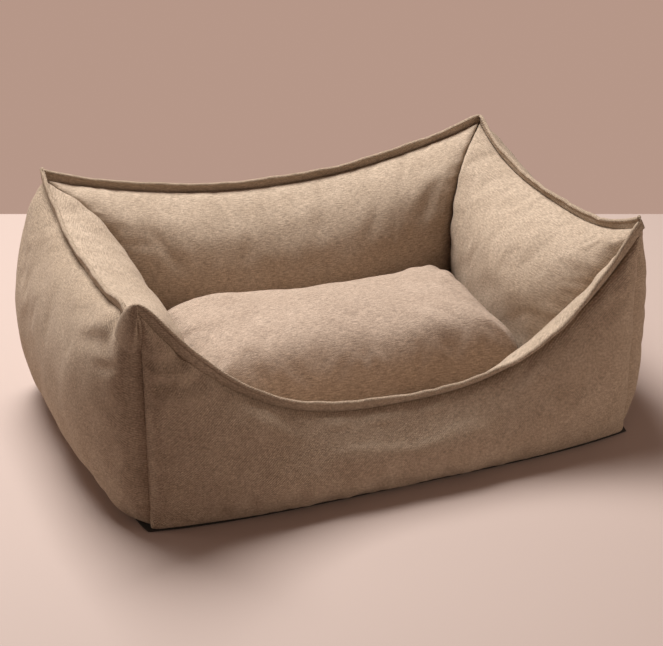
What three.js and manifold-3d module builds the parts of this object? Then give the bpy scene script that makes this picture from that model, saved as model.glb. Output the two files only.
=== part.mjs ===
// Bolster-walled pet bed with a loose cushion: four stuffed fabric walls that rise to four pointed corners,
// a flat non-slip base and a thick cushion in the sleeping well. Two zips open it for washing: one along the
// foot of the back wall, and one along the back seam of the cushion.
// Millimetres, +Z up, +X along the length, +Y towards the back, origin on the floor under the middle.
import * as THREE from 'three';
import Module from 'manifold-3d';
import { mergeVertices } from 'three/addons/utils/BufferGeometryUtils.js';

const wasm = await Module();
wasm.setup();

// ---------------------------------------------------------------- driving dimensions: the bed
const BED_LENGTH = 760; // corner seam to corner seam, along X
const BED_DEPTH = 522; // corner seam to corner seam, along Y
const PEAK_HEIGHT = 339; // top seam at the four pointed corners
const FRONT_DIP_HEIGHT = 128; // top seam at the middle of the front wall
const BACK_DIP_HEIGHT = 276; // top seam at the middle of the back wall
const SIDE_DIP_HEIGHT = 287; // top seam at the middle of both side walls
const WALL_THICKNESS = 97; // seam plane to the inner face, at the corner creases
const WALL_SWELL = 15; // extra thickness of the inner face at the middle of each wall
const INNER_SQUARENESS = 7; // how sharply the inner face turns from its top to its upright part
const FRONT_SQUARENESS = 2.1; // the front wall's inner face falls away more gently,
const FRONT_LEFT_SQUARENESS = 4; // and meets the side walls' faces in between at its left corner,
const FRONT_RIGHT_SQUARENESS = 1.8; // and lower at its right corner

const SIDE_BELLY = 65; // how far the side walls bulge past the seam plane
const SIDE_FOOT_BOW = 10; // how far the foot of a side wall bows out
const END_BELLY = 36; // the same two for the front and back walls
const END_FOOT_BOW = 22;
const SHOULDER = 3; // how far towards the corners a belly stays full,
const SHOULDER_ROUNDNESS = 0.8; // and how softly it ends there
const BACK_SHOULDER = 5.2; // the same two for the back half of a side wall, which is stuffed tighter
const BACK_SHOULDER_ROUNDNESS = 0.43;

const FABRIC = 2; // cover fabric with its bonded backing
const FLANGE_HEIGHT = 14; // the sewn edge that stands up from the top seam
const FLANGE_THICKNESS = 3.6;
const SEAM_GAP = 0.35; // running gap between pieces that are sewn together
const FILL_GAP = 0.5; // between a cover panel and the fill behind it

const BASE_THICKNESS = 2.2; // non-slip base cloth
const BASE_PAD_THICKNESS = 11; // foam sheet in the floor
const FLOOR_CLOTH = 1.8; // lining over that sheet
const PAD_CORNER_RADIUS = 12;

// ---------------------------------------------------------------- driving dimensions: the cushion
const CUSHION_SIDE_GAP = 3.4; // cushion to the side walls at their fullest
const CUSHION_FRONT_GAP = 3.4; // cushion to the front wall at its fullest
const CUSHION_BACK_GAP = 22; // room for the cushion's zip in front of the back wall
const CUSHION_PULL_IN = 14; // how far each side of the cushion pulls in between its corners
const CUSHION_SEAM_RISE = 84; // from the cushion's underside to its side seam
const CUSHION_CROWN = 75; // from its side seam to the top of its crown
const CUSHION_CORNER = 10; // squareness of its outline
const CUSHION_FABRIC = 1.6;
const CUSHION_FILL_GAP = 0.45;

// ---------------------------------------------------------------- driving dimensions: the zips
const BED_ZIP_LENGTH = 340;
const BED_ZIP_HEIGHT = 36; // centre line above the floor
const CUSHION_ZIP_LENGTH = 250;
const TAPE_WIDTH = 10;
const TAPE_THICKNESS = 0.8;
const COIL_WIDTH = 2.4;
const COIL_HEIGHT = 2;
const COIL_SPLIT = 2; // free width between the two coils, where the slider's web runs
const ZIP_GAP = 0.35; // between the pieces of a zip
const STOP_LENGTH = 3;
const SLIDER_LENGTH = 12;
const SLIDER_PLATE = 1.4;
const SLIDER_WEB = 1.2;
const BRIDGE_BAR = 1.2;
const BRIDGE_SPAN = 7;
const PULL_LENGTH = 14;
const PULL_WIDTH = 6;
const PULL_THICKNESS = 1.2;
const PULL_RIM = 0.8; // metal rolled round the pull's eye
const PULL_PLAY = 0.3; // round the corners of the bridge bar

// ---------------------------------------------------------------- values that follow
const HALF_LENGTH = BED_LENGTH / 2;
const HALF_DEPTH = BED_DEPTH / 2;
const HALF_FLANGE = FLANGE_THICKNESS / 2;
// The well, measured between the walls at their fullest.
const WELL_HALF_X = HALF_LENGTH - HALF_FLANGE - WALL_THICKNESS - WALL_SWELL;
const WELL_HALF_Y = HALF_DEPTH - HALF_FLANGE - WALL_THICKNESS - WALL_SWELL;
const OUTER_FOOT = BASE_THICKNESS + SEAM_GAP; // the outer panels stand on the base cloth
const PAD_FOOT = OUTER_FOOT;
const FLOOR_FOOT = PAD_FOOT + BASE_PAD_THICKNESS + SEAM_GAP;
const FLOOR_TOP = FLOOR_FOOT + FLOOR_CLOTH;
const INNER_FOOT = FLOOR_TOP + SEAM_GAP; // the inner panels stand on the floor lining

// Every wall runs along s from -1 to 1. half and reach are its half length and the distance of its seam
// plane from the bed's middle; fullness gives the belly's share at s, and turn its inner face's squareness.
const plump = (s, power, root) => Math.max(0, 1 - Math.abs(s) ** power) ** root;
const endFullness = (s) => plump(s, SHOULDER, SHOULDER_ROUNDNESS);
const sideFullness = (s) => (s > 0 ? plump(s, BACK_SHOULDER, BACK_SHOULDER_ROUNDNESS) : endFullness(s));
const evenTurn = () => INNER_SQUARENESS;
const frontTurn = (s) => {
  const corner = s > 0 ? FRONT_RIGHT_SQUARENESS : FRONT_LEFT_SQUARENESS;
  return THREE.MathUtils.lerp(FRONT_SQUARENESS, corner, s * s);
};
const sideTurn = (corner) => (s) => THREE.MathUtils.lerp(INNER_SQUARENESS, corner, Math.min(0, s) ** 2);
const END = {
  half: HALF_LENGTH, reach: HALF_DEPTH, alongX: true, belly: END_BELLY, bow: END_FOOT_BOW,
  bowPower: 4, rise: 0.75, fullness: endFullness,
};
const SIDE = {
  half: HALF_DEPTH, reach: HALF_LENGTH, alongX: false, belly: SIDE_BELLY, bow: SIDE_FOOT_BOW,
  bowPower: 7.7, rise: 0.5, fullness: sideFullness,
};
const WALLS = {
  front: { ...END, sign: -1, dip: FRONT_DIP_HEIGHT, dipPower: 2.7, turn: frontTurn },
  back: { ...END, sign: 1, dip: BACK_DIP_HEIGHT, dipPower: 2, turn: evenTurn },
  left: { ...SIDE, sign: -1, dip: SIDE_DIP_HEIGHT, dipPower: 2.6, turn: sideTurn(FRONT_LEFT_SQUARENESS) },
  right: { ...SIDE, sign: 1, dip: SIDE_DIP_HEIGHT, dipPower: 2.8, turn: sideTurn(FRONT_RIGHT_SQUARENESS) },
};

// ---------------------------------------------------------------- materials
function cloth(color, roughness = 0.95) {
  return new THREE.MeshStandardMaterial({ color, roughness, metalness: 0 });
}
function metal(color) {
  return new THREE.MeshStandardMaterial({ color, roughness: 0.35, metalness: 0.9 });
}
const COVER_COLOUR = 0xa98c6e;
const LINING_COLOUR = 0xb59a7c;
const CUSHION_COLOUR = 0xb2977b;
const FILL_COLOUR = 0xefece4;
const BASE_COLOUR = 0x2b2622;
const TAPE_COLOUR = 0x8f7559;
const COIL_COLOUR = 0x7d664d;
const METAL_COLOUR = 0x8c857b;

// ---------------------------------------------------------------- closed meshes
// A closed mesh from points and triangles, turned so that its faces point outwards.
function closedMesh(points, triangles) {
  const corner = new THREE.Vector3();
  let volume = 0;
  for (const [a, b, c] of triangles) {
    volume += points[a].dot(corner.crossVectors(points[b], points[c]));
  }
  const order = volume < 0 ? triangles.map(([a, b, c]) => [a, c, b]) : triangles;
  const geometry = new THREE.BufferGeometry();
  geometry.setAttribute('position', new THREE.Float32BufferAttribute(points.flatMap((p) => p.toArray()), 3));
  geometry.setIndex(order.flat());
  return geometry;
}

// A shell between two grids of points of the same size, closed along its four edges.
function shell(outside, inside) {
  const columns = outside.length;
  const rows = outside[0].length;
  const points = [...outside.flat(), ...inside.flat()];
  const at = (i, j, under) => i * rows + j + (under ? columns * rows : 0);
  const triangles = [];
  const quad = (a, b, c, d) => triangles.push([a, b, c], [a, c, d]);
  for (let i = 0; i + 1 < columns; i += 1) {
    for (let j = 0; j + 1 < rows; j += 1) {
      quad(at(i, j), at(i + 1, j), at(i + 1, j + 1), at(i, j + 1));
      triangles.push(
        [at(i, j, true), at(i + 1, j + 1, true), at(i + 1, j, true)],
        [at(i, j, true), at(i, j + 1, true), at(i + 1, j + 1, true)],
      );
    }
    quad(at(i, 0), at(i, 0, true), at(i + 1, 0, true), at(i + 1, 0));
    quad(at(i + 1, rows - 1), at(i + 1, rows - 1, true), at(i, rows - 1, true), at(i, rows - 1));
  }
  for (let j = 0; j + 1 < rows; j += 1) {
    quad(at(0, j + 1), at(0, j + 1, true), at(0, j, true), at(0, j));
    quad(at(columns - 1, j), at(columns - 1, j, true), at(columns - 1, j + 1, true), at(columns - 1, j + 1));
  }
  return closedMesh(points, triangles);
}

// A solid through a row of rings; cap lists the triangles that close one end. From the ring's point turned on,
// the faces are split along their other diagonal, as the panels beside them are.
function loft(rings, cap, turned = Infinity) {
  const size = rings[0].length;
  const triangles = [];
  for (let i = 0; i + 1 < rings.length; i += 1) {
    for (let k = 0; k < size; k += 1) {
      const next = (k + 1) % size;
      const [a, b, c, d] = [i * size + k, (i + 1) * size + k, (i + 1) * size + next, i * size + next];
      if (k < turned) {
        triangles.push([a, b, c], [a, c, d]);
      } else {
        triangles.push([a, b, d], [b, c, d]);
      }
    }
  }
  const last = (rings.length - 1) * size;
  for (const [a, b, c] of cap) {
    triangles.push([a, b, c], [last + a, last + c, last + b]);
  }
  return closedMesh(rings.flat(), triangles);
}

// ---------------------------------------------------------------- wall surfaces
// Places a point on a wall: along it, outwards from the bed's middle, and up.
function place(wall, along, out, z) {
  const across = wall.sign * out;
  return wall.alongX ? new THREE.Vector3(along, across, z) : new THREE.Vector3(across, along, z);
}

const seamHeight = (wall, s) => wall.dip + (PEAK_HEIGHT - wall.dip) * Math.abs(s) ** wall.dipPower;

// Keeps a point on its own side of the mitre plane where two walls meet at a corner.
function mitre(wall, point) {
  const inX = HALF_LENGTH - Math.abs(point.x);
  const inY = HALF_DEPTH - Math.abs(point.y);
  const gap = SEAM_GAP / Math.SQRT2;
  if (wall.alongX && inX < inY + gap) {
    point.x = Math.sign(point.x) * (HALF_LENGTH - inY - gap);
  } else if (!wall.alongX && inY < inX + gap) {
    point.y = Math.sign(point.y) * (HALF_DEPTH - inX - gap);
  }
  return point;
}

// Keeps the top edge of a cover panel below the top seam as well.
function underSeam(wall, point) {
  const along = Math.abs(wall.alongX ? point.x : point.y);
  point.z = Math.min(point.z, seamHeight(wall, Math.min(1, along / wall.half)));
  return point;
}

// The outer face: a foot that bows out a little, and a belly that is fullest half way up.
function outerFace(wall, s, v) {
  const bow = wall.bow * (1 - Math.abs(s) ** wall.bowPower) * (1 - v);
  const belly = wall.belly * wall.fullness(s) * (4 * v * (1 - v)) ** wall.rise;
  const z = OUTER_FOOT + (seamHeight(wall, s) - OUTER_FOOT) * v;
  return place(wall, s * (wall.half + HALF_FLANGE), wall.reach + HALF_FLANGE + bow + belly, z);
}

// The inner face: a rounded top that turns down to an upright face, fullest at the wall's middle.
function innerFace(wall, s, v) {
  const turn = 1 - v ** wall.turn(s);
  const depth = HALF_FLANGE + (WALL_THICKNESS + WALL_SWELL * (1 - s * s)) * turn;
  const along = s * (wall.half - HALF_FLANGE - WALL_THICKNESS * turn);
  const z = INNER_FOOT + (seamHeight(wall, s) - INNER_FOOT) * v;
  return place(wall, along, wall.reach - depth, z);
}

// A face moved into the wall by a distance, square to itself. Past these shares of the wall's length and height
// the direction stays as it is there, because the face ends in a sharp seam.
const LAST_SQUARE_S = 0.95;
const LAST_SQUARE_V = 0.97;
function behind(face, wall, s, v, distance) {
  const sc = THREE.MathUtils.clamp(s, -LAST_SQUARE_S, LAST_SQUARE_S);
  const vc = THREE.MathUtils.clamp(v, 1 - LAST_SQUARE_V, LAST_SQUARE_V);
  const step = 0.01;
  const across = face(wall, sc + step, vc).sub(face(wall, sc - step, vc));
  const up = face(wall, sc, vc + step).sub(face(wall, sc, vc - step));
  const normal = across.cross(up).normalize();
  const outwards = place(wall, 0, face === outerFace ? 1 : -1, face === outerFace ? 0 : 1);
  if (normal.dot(outwards) < 0) {
    normal.negate();
  }
  return face(wall, s, v).addScaledVector(normal, -distance);
}

// Stations along a wall, closer together towards its corners, and up each face.
const COLUMNS = 14;
const STATIONS = Array.from({ length: COLUMNS + 1 }, (_, i) => (
  Math.sin((Math.PI / 2) * ((2 * i) / COLUMNS - 1))
));
const ROWS = 7;
const OUTER_ROWS = Array.from({ length: ROWS + 1 }, (_, j) => (1 - Math.cos((Math.PI * j) / ROWS)) / 2);
const INNER_ROWS = [0, 0.36, 0.6, 0.75, 0.85, 0.92, 0.97, 1];

function grid(face, wall, rows, distance) {
  return STATIONS.map((s) => rows.map((v) => {
    const point = mitre(wall, behind(face, wall, s, v, distance));
    return v < 1 ? point : underSeam(wall, point);
  }));
}

function panel(face, wall, rows) {
  return shell(grid(face, wall, rows, 0), grid(face, wall, rows, FABRIC));
}

// ---------------------------------------------------------------- wall pieces
// The folded edge above the top seam, round at its free edge.
function flange(wall) {
  const rings = STATIONS.map((s) => {
    const foot = seamHeight(wall, s) + SEAM_GAP;
    const top = foot + FLANGE_HEIGHT - SEAM_GAP;
    const shoulder = top - HALF_FLANGE;
    const outline = [
      [HALF_FLANGE, foot], [HALF_FLANGE, shoulder], [HALF_FLANGE / 2, top],
      [-HALF_FLANGE / 2, top], [-HALF_FLANGE, shoulder], [-HALF_FLANGE, foot],
    ];
    return outline.map(([out, z]) => {
      const along = Math.abs(s) < 1 ? s * wall.half : Math.sign(s) * (wall.half + HALF_FLANGE);
      return mitre(wall, place(wall, along, wall.reach + out, z));
    });
  });
  return loft(rings, [[0, 1, 5], [1, 4, 5], [1, 2, 4], [2, 3, 4]]);
}

// The fibre bolster that fills one wall, seated on the base cloth.
function bolster(wall) {
  const inset = FABRIC + FILL_GAP;
  const outerRows = OUTER_ROWS.slice(0, -1);
  const innerRows = INNER_ROWS.slice(0, -1);
  const rings = STATIONS.slice(1, -1).map((s) => {
    const outer = outerRows.map((v) => behind(outerFace, wall, s, v, inset));
    const inner = innerRows.map((v) => behind(innerFace, wall, s, v, inset));
    const foot = inner[0].clone().setZ(OUTER_FOOT);
    return [...outer, ...inner.reverse(), foot].map((point) => mitre(wall, point));
  });
  const top = outerRows.length - 1;
  const across = (j) => 2 * top + 1 - j;
  const cap = [[0, across(0), 2 * top + 2]];
  for (let j = 0; j < top; j += 1) {
    cap.push([j, j + 1, across(j + 1)], [j, across(j + 1), across(j)]);
  }
  return loft(rings, cap, outerRows.length);
}

// ---------------------------------------------------------------- floor pieces
function plate(outline, thickness, foot) {
  const shape = new THREE.Shape(outline.map((p) => new THREE.Vector2(p.x, p.y)));
  const geometry = new THREE.ExtrudeGeometry(shape, { depth: thickness, bevelEnabled: false });
  return geometry.translate(0, 0, foot);
}

// The base cloth has the outline of the four outer panels at their feet.
function baseCloth() {
  const foot = (wall, stations) => stations.slice(0, -1).map((s) => outerFace(wall, s, 0));
  const back = [...STATIONS].reverse();
  const outline = [
    ...foot(WALLS.front, STATIONS), ...foot(WALLS.right, STATIONS),
    ...foot(WALLS.back, back), ...foot(WALLS.left, back),
  ];
  return plate(outline, BASE_THICKNESS, 0);
}

// The sleeping floor lies between the inner panels, whose feet stand on the edge of its lining.
function floorOutline(inset, radius) {
  const halfX = WELL_HALF_X + inset;
  const halfY = WELL_HALF_Y + inset;
  const arc = (x, y, from) => (
    new THREE.EllipseCurve(x, y, radius, radius, from, from + Math.PI / 2).getPoints(4)
  );
  return [
    ...arc(halfX - radius, halfY - radius, 0), ...arc(radius - halfX, halfY - radius, Math.PI / 2),
    ...arc(radius - halfX, radius - halfY, Math.PI), ...arc(halfX - radius, radius - halfY, 1.5 * Math.PI),
  ];
}

// ---------------------------------------------------------------- cushion
const CUSHION_HALF_X = WELL_HALF_X - CUSHION_SIDE_GAP + CUSHION_PULL_IN;
const CUSHION_FRONT = -WELL_HALF_Y + CUSHION_FRONT_GAP;
const CUSHION_BACK = WELL_HALF_Y - CUSHION_BACK_GAP;
const CUSHION_MIDDLE_Y = (CUSHION_FRONT + CUSHION_BACK) / 2;
const CUSHION_HALF_Y = (CUSHION_BACK - CUSHION_FRONT) / 2 + CUSHION_PULL_IN;
const CUSHION_FOOT = FLOOR_TOP + SEAM_GAP;
const CUSHION_SEAM = CUSHION_FOOT + CUSHION_SEAM_RISE;
const CUSHION_SPOKES = 40;
const CUSHION_RINGS = [0.3, 0.55, 0.75, 0.88, 0.96, 1];
const TOP_FLATNESS = 4; // how far the cushion's top stays level before it falls to the seam
const UNDERSIDE_FLATNESS = 6;
const CUSHION_ROUNDNESS = 0.6;

// The outline pulls in between its corners; share runs from 0 at the middle to 1 at the seam.
function cushionPoint(turn, share, inset, z) {
  const [c, s] = [Math.cos(turn), Math.sin(turn)];
  const reach = (Math.abs(c) ** CUSHION_CORNER + Math.abs(s) ** CUSHION_CORNER) ** (-1 / CUSHION_CORNER);
  const [u, w] = [reach * c, reach * s];
  const x = share * u * (CUSHION_HALF_X - inset - CUSHION_PULL_IN * (1 - w * w));
  const y = share * w * (CUSHION_HALF_Y - inset - CUSHION_PULL_IN * (1 - u * u));
  return new THREE.Vector3(x, CUSHION_MIDDLE_Y + y, z);
}

// Rings of points from the seam to the middle of one side of the cushion, which rises or falls by height.
function cushionSide(height, inset, lift) {
  const reach = height - Math.sign(height) * inset;
  const flat = height > 0 ? TOP_FLATNESS : UNDERSIDE_FLATNESS;
  return CUSHION_RINGS.map((share) => {
    const z = CUSHION_SEAM + lift + reach * Math.max(0, 1 - share ** flat) ** CUSHION_ROUNDNESS;
    return Array.from({ length: CUSHION_SPOKES }, (_, k) => (
      cushionPoint((2 * Math.PI * (k + 0.5)) / CUSHION_SPOKES, share, inset, z)
    ));
  });
}

// A dome of fabric: an outer and an inner skin that meet in a flat rim along the seam.
function cushionPanel(height) {
  const lift = (Math.sign(height) * SEAM_GAP) / 2;
  const skins = [cushionSide(height, 0, lift), cushionSide(height, CUSHION_FABRIC, lift)];
  const rings = [...skins[0], ...skins[1].reverse()];
  const poles = [height, height - Math.sign(height) * CUSHION_FABRIC].map((rise) => (
    new THREE.Vector3(0, CUSHION_MIDDLE_Y, CUSHION_SEAM + lift + rise)
  ));
  return lathe(rings, poles);
}

// The fibre core inside both panels.
function cushionCore() {
  const inset = CUSHION_FABRIC + CUSHION_FILL_GAP;
  const top = cushionSide(CUSHION_CROWN, inset, 0);
  const bottom = cushionSide(-CUSHION_SEAM_RISE, inset, 0).slice(0, -1);
  const poles = [CUSHION_CROWN - inset, inset - CUSHION_SEAM_RISE].map((rise) => (
    new THREE.Vector3(0, CUSHION_MIDDLE_Y, CUSHION_SEAM + rise)
  ));
  return lathe([...top, ...bottom.reverse()], poles);
}

// Closes a stack of rings with one point at each end.
function lathe(rings, poles) {
  const size = rings[0].length;
  const points = [poles[0], ...rings.flat(), poles[1]];
  const triangles = [];
  const end = points.length - 1;
  for (let k = 0; k < size; k += 1) {
    const next = (k + 1) % size;
    triangles.push([0, 1 + k, 1 + next], [end, end - size + next, end - size + k]);
    for (let i = 0; i + 1 < rings.length; i += 1) {
      const [a, b] = [1 + i * size + k, 1 + i * size + next];
      triangles.push([a, a + size, b + size], [a, b + size, b]);
    }
  }
  return closedMesh(points, triangles);
}

// ---------------------------------------------------------------- zips
// A zip lies along X on the plane y = 0 of its own frame, with y away from the cloth and z across it.
const COIL_FOOT = TAPE_THICKNESS + ZIP_GAP;
const PLATE_FOOT = COIL_FOOT + COIL_HEIGHT + ZIP_GAP;
const PLATE_TOP = PLATE_FOOT + SLIDER_PLATE;
const PULL_EYE = BRIDGE_BAR / Math.SQRT2 + PULL_PLAY;
const PULL_REACH = PULL_EYE + PULL_RIM; // the rolled eye reaches this far round the bar
const PULL_AXIS = PLATE_TOP + PULL_REACH + ZIP_GAP;

function extrude(outline, holes, depth, axes) {
  const shape = new THREE.Shape(outline.map(([x, y]) => new THREE.Vector2(x, y)));
  shape.holes = holes.map((hole) => new THREE.Path(hole.map(([x, y]) => new THREE.Vector2(x, y))));
  const geometry = new THREE.ExtrudeGeometry(shape, { depth, bevelEnabled: false });
  geometry.translate(0, 0, -depth / 2);
  return geometry.applyMatrix4(new THREE.Matrix4().makeBasis(...axes));
}
const [AXIS_X, AXIS_Y, AXIS_Z] = [
  new THREE.Vector3(1, 0, 0), new THREE.Vector3(0, 1, 0), new THREE.Vector3(0, 0, 1),
];

function solid(geometry) {
  const bare = geometry.clone();
  bare.deleteAttribute('normal');
  bare.deleteAttribute('uv');
  const merged = mergeVertices(bare);
  return new wasm.Manifold(new wasm.Mesh({
    numProp: 3,
    vertProperties: new Float32Array(merged.attributes.position.array),
    triVerts: new Uint32Array(merged.index.array),
  }));
}

function joined(first, second) {
  const mesh = solid(first).add(solid(second)).getMesh();
  const geometry = new THREE.BufferGeometry();
  geometry.setAttribute('position', new THREE.BufferAttribute(new Float32Array(mesh.vertProperties), 3));
  geometry.setIndex(new THREE.BufferAttribute(new Uint32Array(mesh.triVerts), 1));
  return geometry;
}

// A channel that straddles both coils, with a web between them and a bridge for the pull on its face.
function slider() {
  const side = COIL_SPLIT / 2 + COIL_WIDTH + ZIP_GAP;
  const edge = side + SLIDER_WEB;
  const web = SLIDER_WEB / 2;
  const channel = [
    [COIL_FOOT, -edge], [PLATE_TOP, -edge], [PLATE_TOP, edge], [COIL_FOOT, edge], [COIL_FOOT, side],
    [PLATE_FOOT, side], [PLATE_FOOT, web], [COIL_FOOT, web], [COIL_FOOT, -web], [PLATE_FOOT, -web],
    [PLATE_FOOT, -side], [COIL_FOOT, -side],
  ];
  const body = extrude(channel, [], SLIDER_LENGTH, [AXIS_Y, AXIS_Z, AXIS_X]);
  const [inside, outside] = [BRIDGE_SPAN / 2, BRIDGE_SPAN / 2 + BRIDGE_BAR];
  const [low, high] = [PULL_AXIS - BRIDGE_BAR / 2, PULL_AXIS + BRIDGE_BAR / 2];
  const root = PLATE_TOP - SLIDER_PLATE / 2;
  const arch = [
    [-outside, root], [-inside, root], [-inside, low], [inside, low],
    [inside, root], [outside, root], [outside, high], [-outside, high],
  ];
  return joined(body, extrude(arch, [], BRIDGE_BAR, [AXIS_X, AXIS_Y, AXIS_Z]));
}

// A flat tab whose top is rolled round the bridge bar, with the bar's axis at its origin.
function pull() {
  const half = PULL_THICKNESS / 2;
  const neck = Math.asin(half / PULL_REACH);
  const [start, end] = [neck - Math.PI / 2, 1.5 * Math.PI - neck];
  const roll = new THREE.EllipseCurve(0, 0, PULL_REACH, PULL_REACH, start, end).getPoints(14);
  const eye = new THREE.EllipseCurve(0, 0, PULL_EYE, PULL_EYE, 0, 2 * Math.PI).getPoints(12).slice(1);
  const outline = [[half, -PULL_LENGTH], ...roll.map((p) => p.toArray()), [-half, -PULL_LENGTH]];
  return extrude(outline, [eye.map((p) => p.toArray())], PULL_WIDTH, [AXIS_Y, AXIS_Z, AXIS_X]);
}

function box(sizeX, sizeY, sizeZ, x, y, z) {
  return new THREE.BoxGeometry(sizeX, sizeY, sizeZ).translate(x, y, z);
}

function zip(name, length, tilt) {
  const group = new THREE.Group();
  const coilAt = (COIL_SPLIT + COIL_WIDTH) / 2;
  const tapeAt = (COIL_SPLIT + TAPE_WIDTH) / 2;
  const coilMiddle = COIL_FOOT + COIL_HEIGHT / 2;
  const stopAt = (length + STOP_LENGTH) / 2 + ZIP_GAP;
  const tapeLength = length + 2 * (STOP_LENGTH + 2 * ZIP_GAP);
  for (const [half, side] of [['upper', 1], ['lower', -1]]) {
    const tape = box(tapeLength, TAPE_THICKNESS, TAPE_WIDTH, 0, TAPE_THICKNESS / 2, side * tapeAt);
    const coil = box(length, COIL_HEIGHT, COIL_WIDTH, 0, coilMiddle, side * coilAt);
    group.add(named(`${name}_tape_${half}`, tape, cloth(TAPE_COLOUR)));
    group.add(named(`${name}_coil_${half}`, coil, cloth(COIL_COLOUR, 0.5)));
  }
  for (const [end, side] of [['left', -1], ['right', 1]]) {
    const stop = box(STOP_LENGTH, COIL_HEIGHT, COIL_SPLIT + 2 * COIL_WIDTH, side * stopAt, coilMiddle, 0);
    group.add(named(`${name}_stop_${end}`, stop, metal(METAL_COLOUR)));
  }
  const closed = (length - SLIDER_LENGTH) / 2;
  const runner = named(`${name}_slider`, slider(), metal(METAL_COLOUR));
  runner.position.x = closed;
  const tab = named(`${name}_pull`, pull(), metal(METAL_COLOUR));
  tab.position.set(closed, PULL_AXIS, 0);
  tab.rotation.x = tilt;
  group.add(runner, tab);
  group.rotation.x = -tilt;
  return group;
}

// ---------------------------------------------------------------- assembly
function named(name, geometry, material) {
  const mesh = new THREE.Mesh(geometry, material);
  mesh.name = name;
  return mesh;
}

const bed = new THREE.Group();

// The back panel is sewn in two parts, and the zip covers the seam between them.
const zipRow = (BED_ZIP_HEIGHT - OUTER_FOOT) / (BACK_DIP_HEIGHT - OUTER_FOOT);
const seamShare = SEAM_GAP / (BACK_DIP_HEIGHT - OUTER_FOOT);
const bandRows = [0, 0.25, 0.5, 0.75, 1].map((share) => share * (zipRow - seamShare));
const backRows = [zipRow, ...OUTER_ROWS.filter((v) => v > zipRow + seamShare)];

for (const [name, wall] of Object.entries(WALLS)) {
  const rows = name === 'back' ? backRows : OUTER_ROWS;
  bed.add(named(`${name}_outer_panel`, panel(outerFace, wall, rows), cloth(COVER_COLOUR)));
  bed.add(named(`${name}_inner_panel`, panel(innerFace, wall, INNER_ROWS), cloth(LINING_COLOUR)));
  bed.add(named(`${name}_flange`, flange(wall), cloth(COVER_COLOUR)));
  bed.add(named(`${name}_bolster_fill`, bolster(wall), cloth(FILL_COLOUR)));
}
bed.add(named('back_zip_band', panel(outerFace, WALLS.back, bandRows), cloth(COVER_COLOUR)));

bed.add(named('base_cloth', baseCloth(), cloth(BASE_COLOUR)));
const padOutline = floorOutline(0, PAD_CORNER_RADIUS);
bed.add(named('floor_pad', plate(padOutline, BASE_PAD_THICKNESS, PAD_FOOT), cloth(FILL_COLOUR)));
const liningOutline = floorOutline(FABRIC, PAD_CORNER_RADIUS);
bed.add(named('floor_lining', plate(liningOutline, FLOOR_CLOTH, FLOOR_FOOT), cloth(LINING_COLOUR)));

bed.add(named('cushion_top_panel', cushionPanel(CUSHION_CROWN), cloth(CUSHION_COLOUR)));
bed.add(named('cushion_bottom_panel', cushionPanel(-CUSHION_SEAM_RISE), cloth(CUSHION_COLOUR)));
bed.add(named('cushion_core', cushionCore(), cloth(FILL_COLOUR)));

// Each zip lies on its cloth, square to it.
const zipFoot = outerFace(WALLS.back, 0, zipRow);
const zipSlope = outerFace(WALLS.back, 0, zipRow + 0.01).sub(outerFace(WALLS.back, 0, zipRow - 0.01));
const bedZip = zip('bed_zip', BED_ZIP_LENGTH, Math.atan2(zipSlope.y, zipSlope.z));
bedZip.position.copy(zipFoot).add(new THREE.Vector3(0, ZIP_GAP, 0));
const cushionZip = zip('cushion_zip', CUSHION_ZIP_LENGTH, 0);
const tapeShare = (CUSHION_ZIP_LENGTH / 2 + STOP_LENGTH + 2 * ZIP_GAP) / (CUSHION_HALF_X - CUSHION_PULL_IN);
const edgeRise = CUSHION_PULL_IN * tapeShare ** 2; // the back edge stands out this much at the tape's ends
cushionZip.position.set(0, CUSHION_BACK + edgeRise + ZIP_GAP, CUSHION_SEAM);
bed.add(bedZip, cushionZip);

export default bed;
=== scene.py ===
# A bolster-walled pet bed with a loose cushion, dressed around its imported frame. The file follows the bed as
# it is put together: walls, sewn edges, fills, floor, cushion and zips. Metres, +Z up, +Y towards the back.
from math import cos, pi, radians, sin

import bmesh
import bpy
import numpy as np
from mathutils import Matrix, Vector


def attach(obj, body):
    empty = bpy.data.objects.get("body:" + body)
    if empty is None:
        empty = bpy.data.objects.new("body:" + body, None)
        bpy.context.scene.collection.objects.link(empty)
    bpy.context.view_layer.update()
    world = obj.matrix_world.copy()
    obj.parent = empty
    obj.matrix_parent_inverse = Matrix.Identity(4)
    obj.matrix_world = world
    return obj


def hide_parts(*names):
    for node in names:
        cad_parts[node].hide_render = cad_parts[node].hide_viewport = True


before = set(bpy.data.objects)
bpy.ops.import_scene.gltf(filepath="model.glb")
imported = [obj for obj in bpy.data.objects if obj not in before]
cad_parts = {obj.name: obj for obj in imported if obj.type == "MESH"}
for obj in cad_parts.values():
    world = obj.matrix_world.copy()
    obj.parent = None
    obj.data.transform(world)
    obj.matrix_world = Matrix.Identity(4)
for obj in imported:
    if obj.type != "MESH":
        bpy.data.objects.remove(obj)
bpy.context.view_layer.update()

scene = bpy.context.scene
scene.view_settings.view_transform = "Standard"

# ---------------------------------------------------------------- the camera
# Stands in front of the bed, a little to the left of its middle, and looks down on it.
camera_azimuth, camera_elevation = radians(-22.19), radians(25.15)
camera_distance = 2.627
camera_target = Vector((0.0184, 0.0479, 0.114))
camera_back = Vector((
    sin(camera_azimuth) * cos(camera_elevation),
    -cos(camera_azimuth) * cos(camera_elevation),
    sin(camera_elevation),
))
camera = bpy.data.objects.new("camera", bpy.data.cameras.new("camera"))
camera.data.lens = 89.76
camera.data.sensor_width = 36
camera.location = camera_target + camera_distance * camera_back
camera.rotation_euler = camera_back.to_track_quat("Z", "Y").to_euler()
scene.collection.objects.link(camera)
scene.camera = camera


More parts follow.
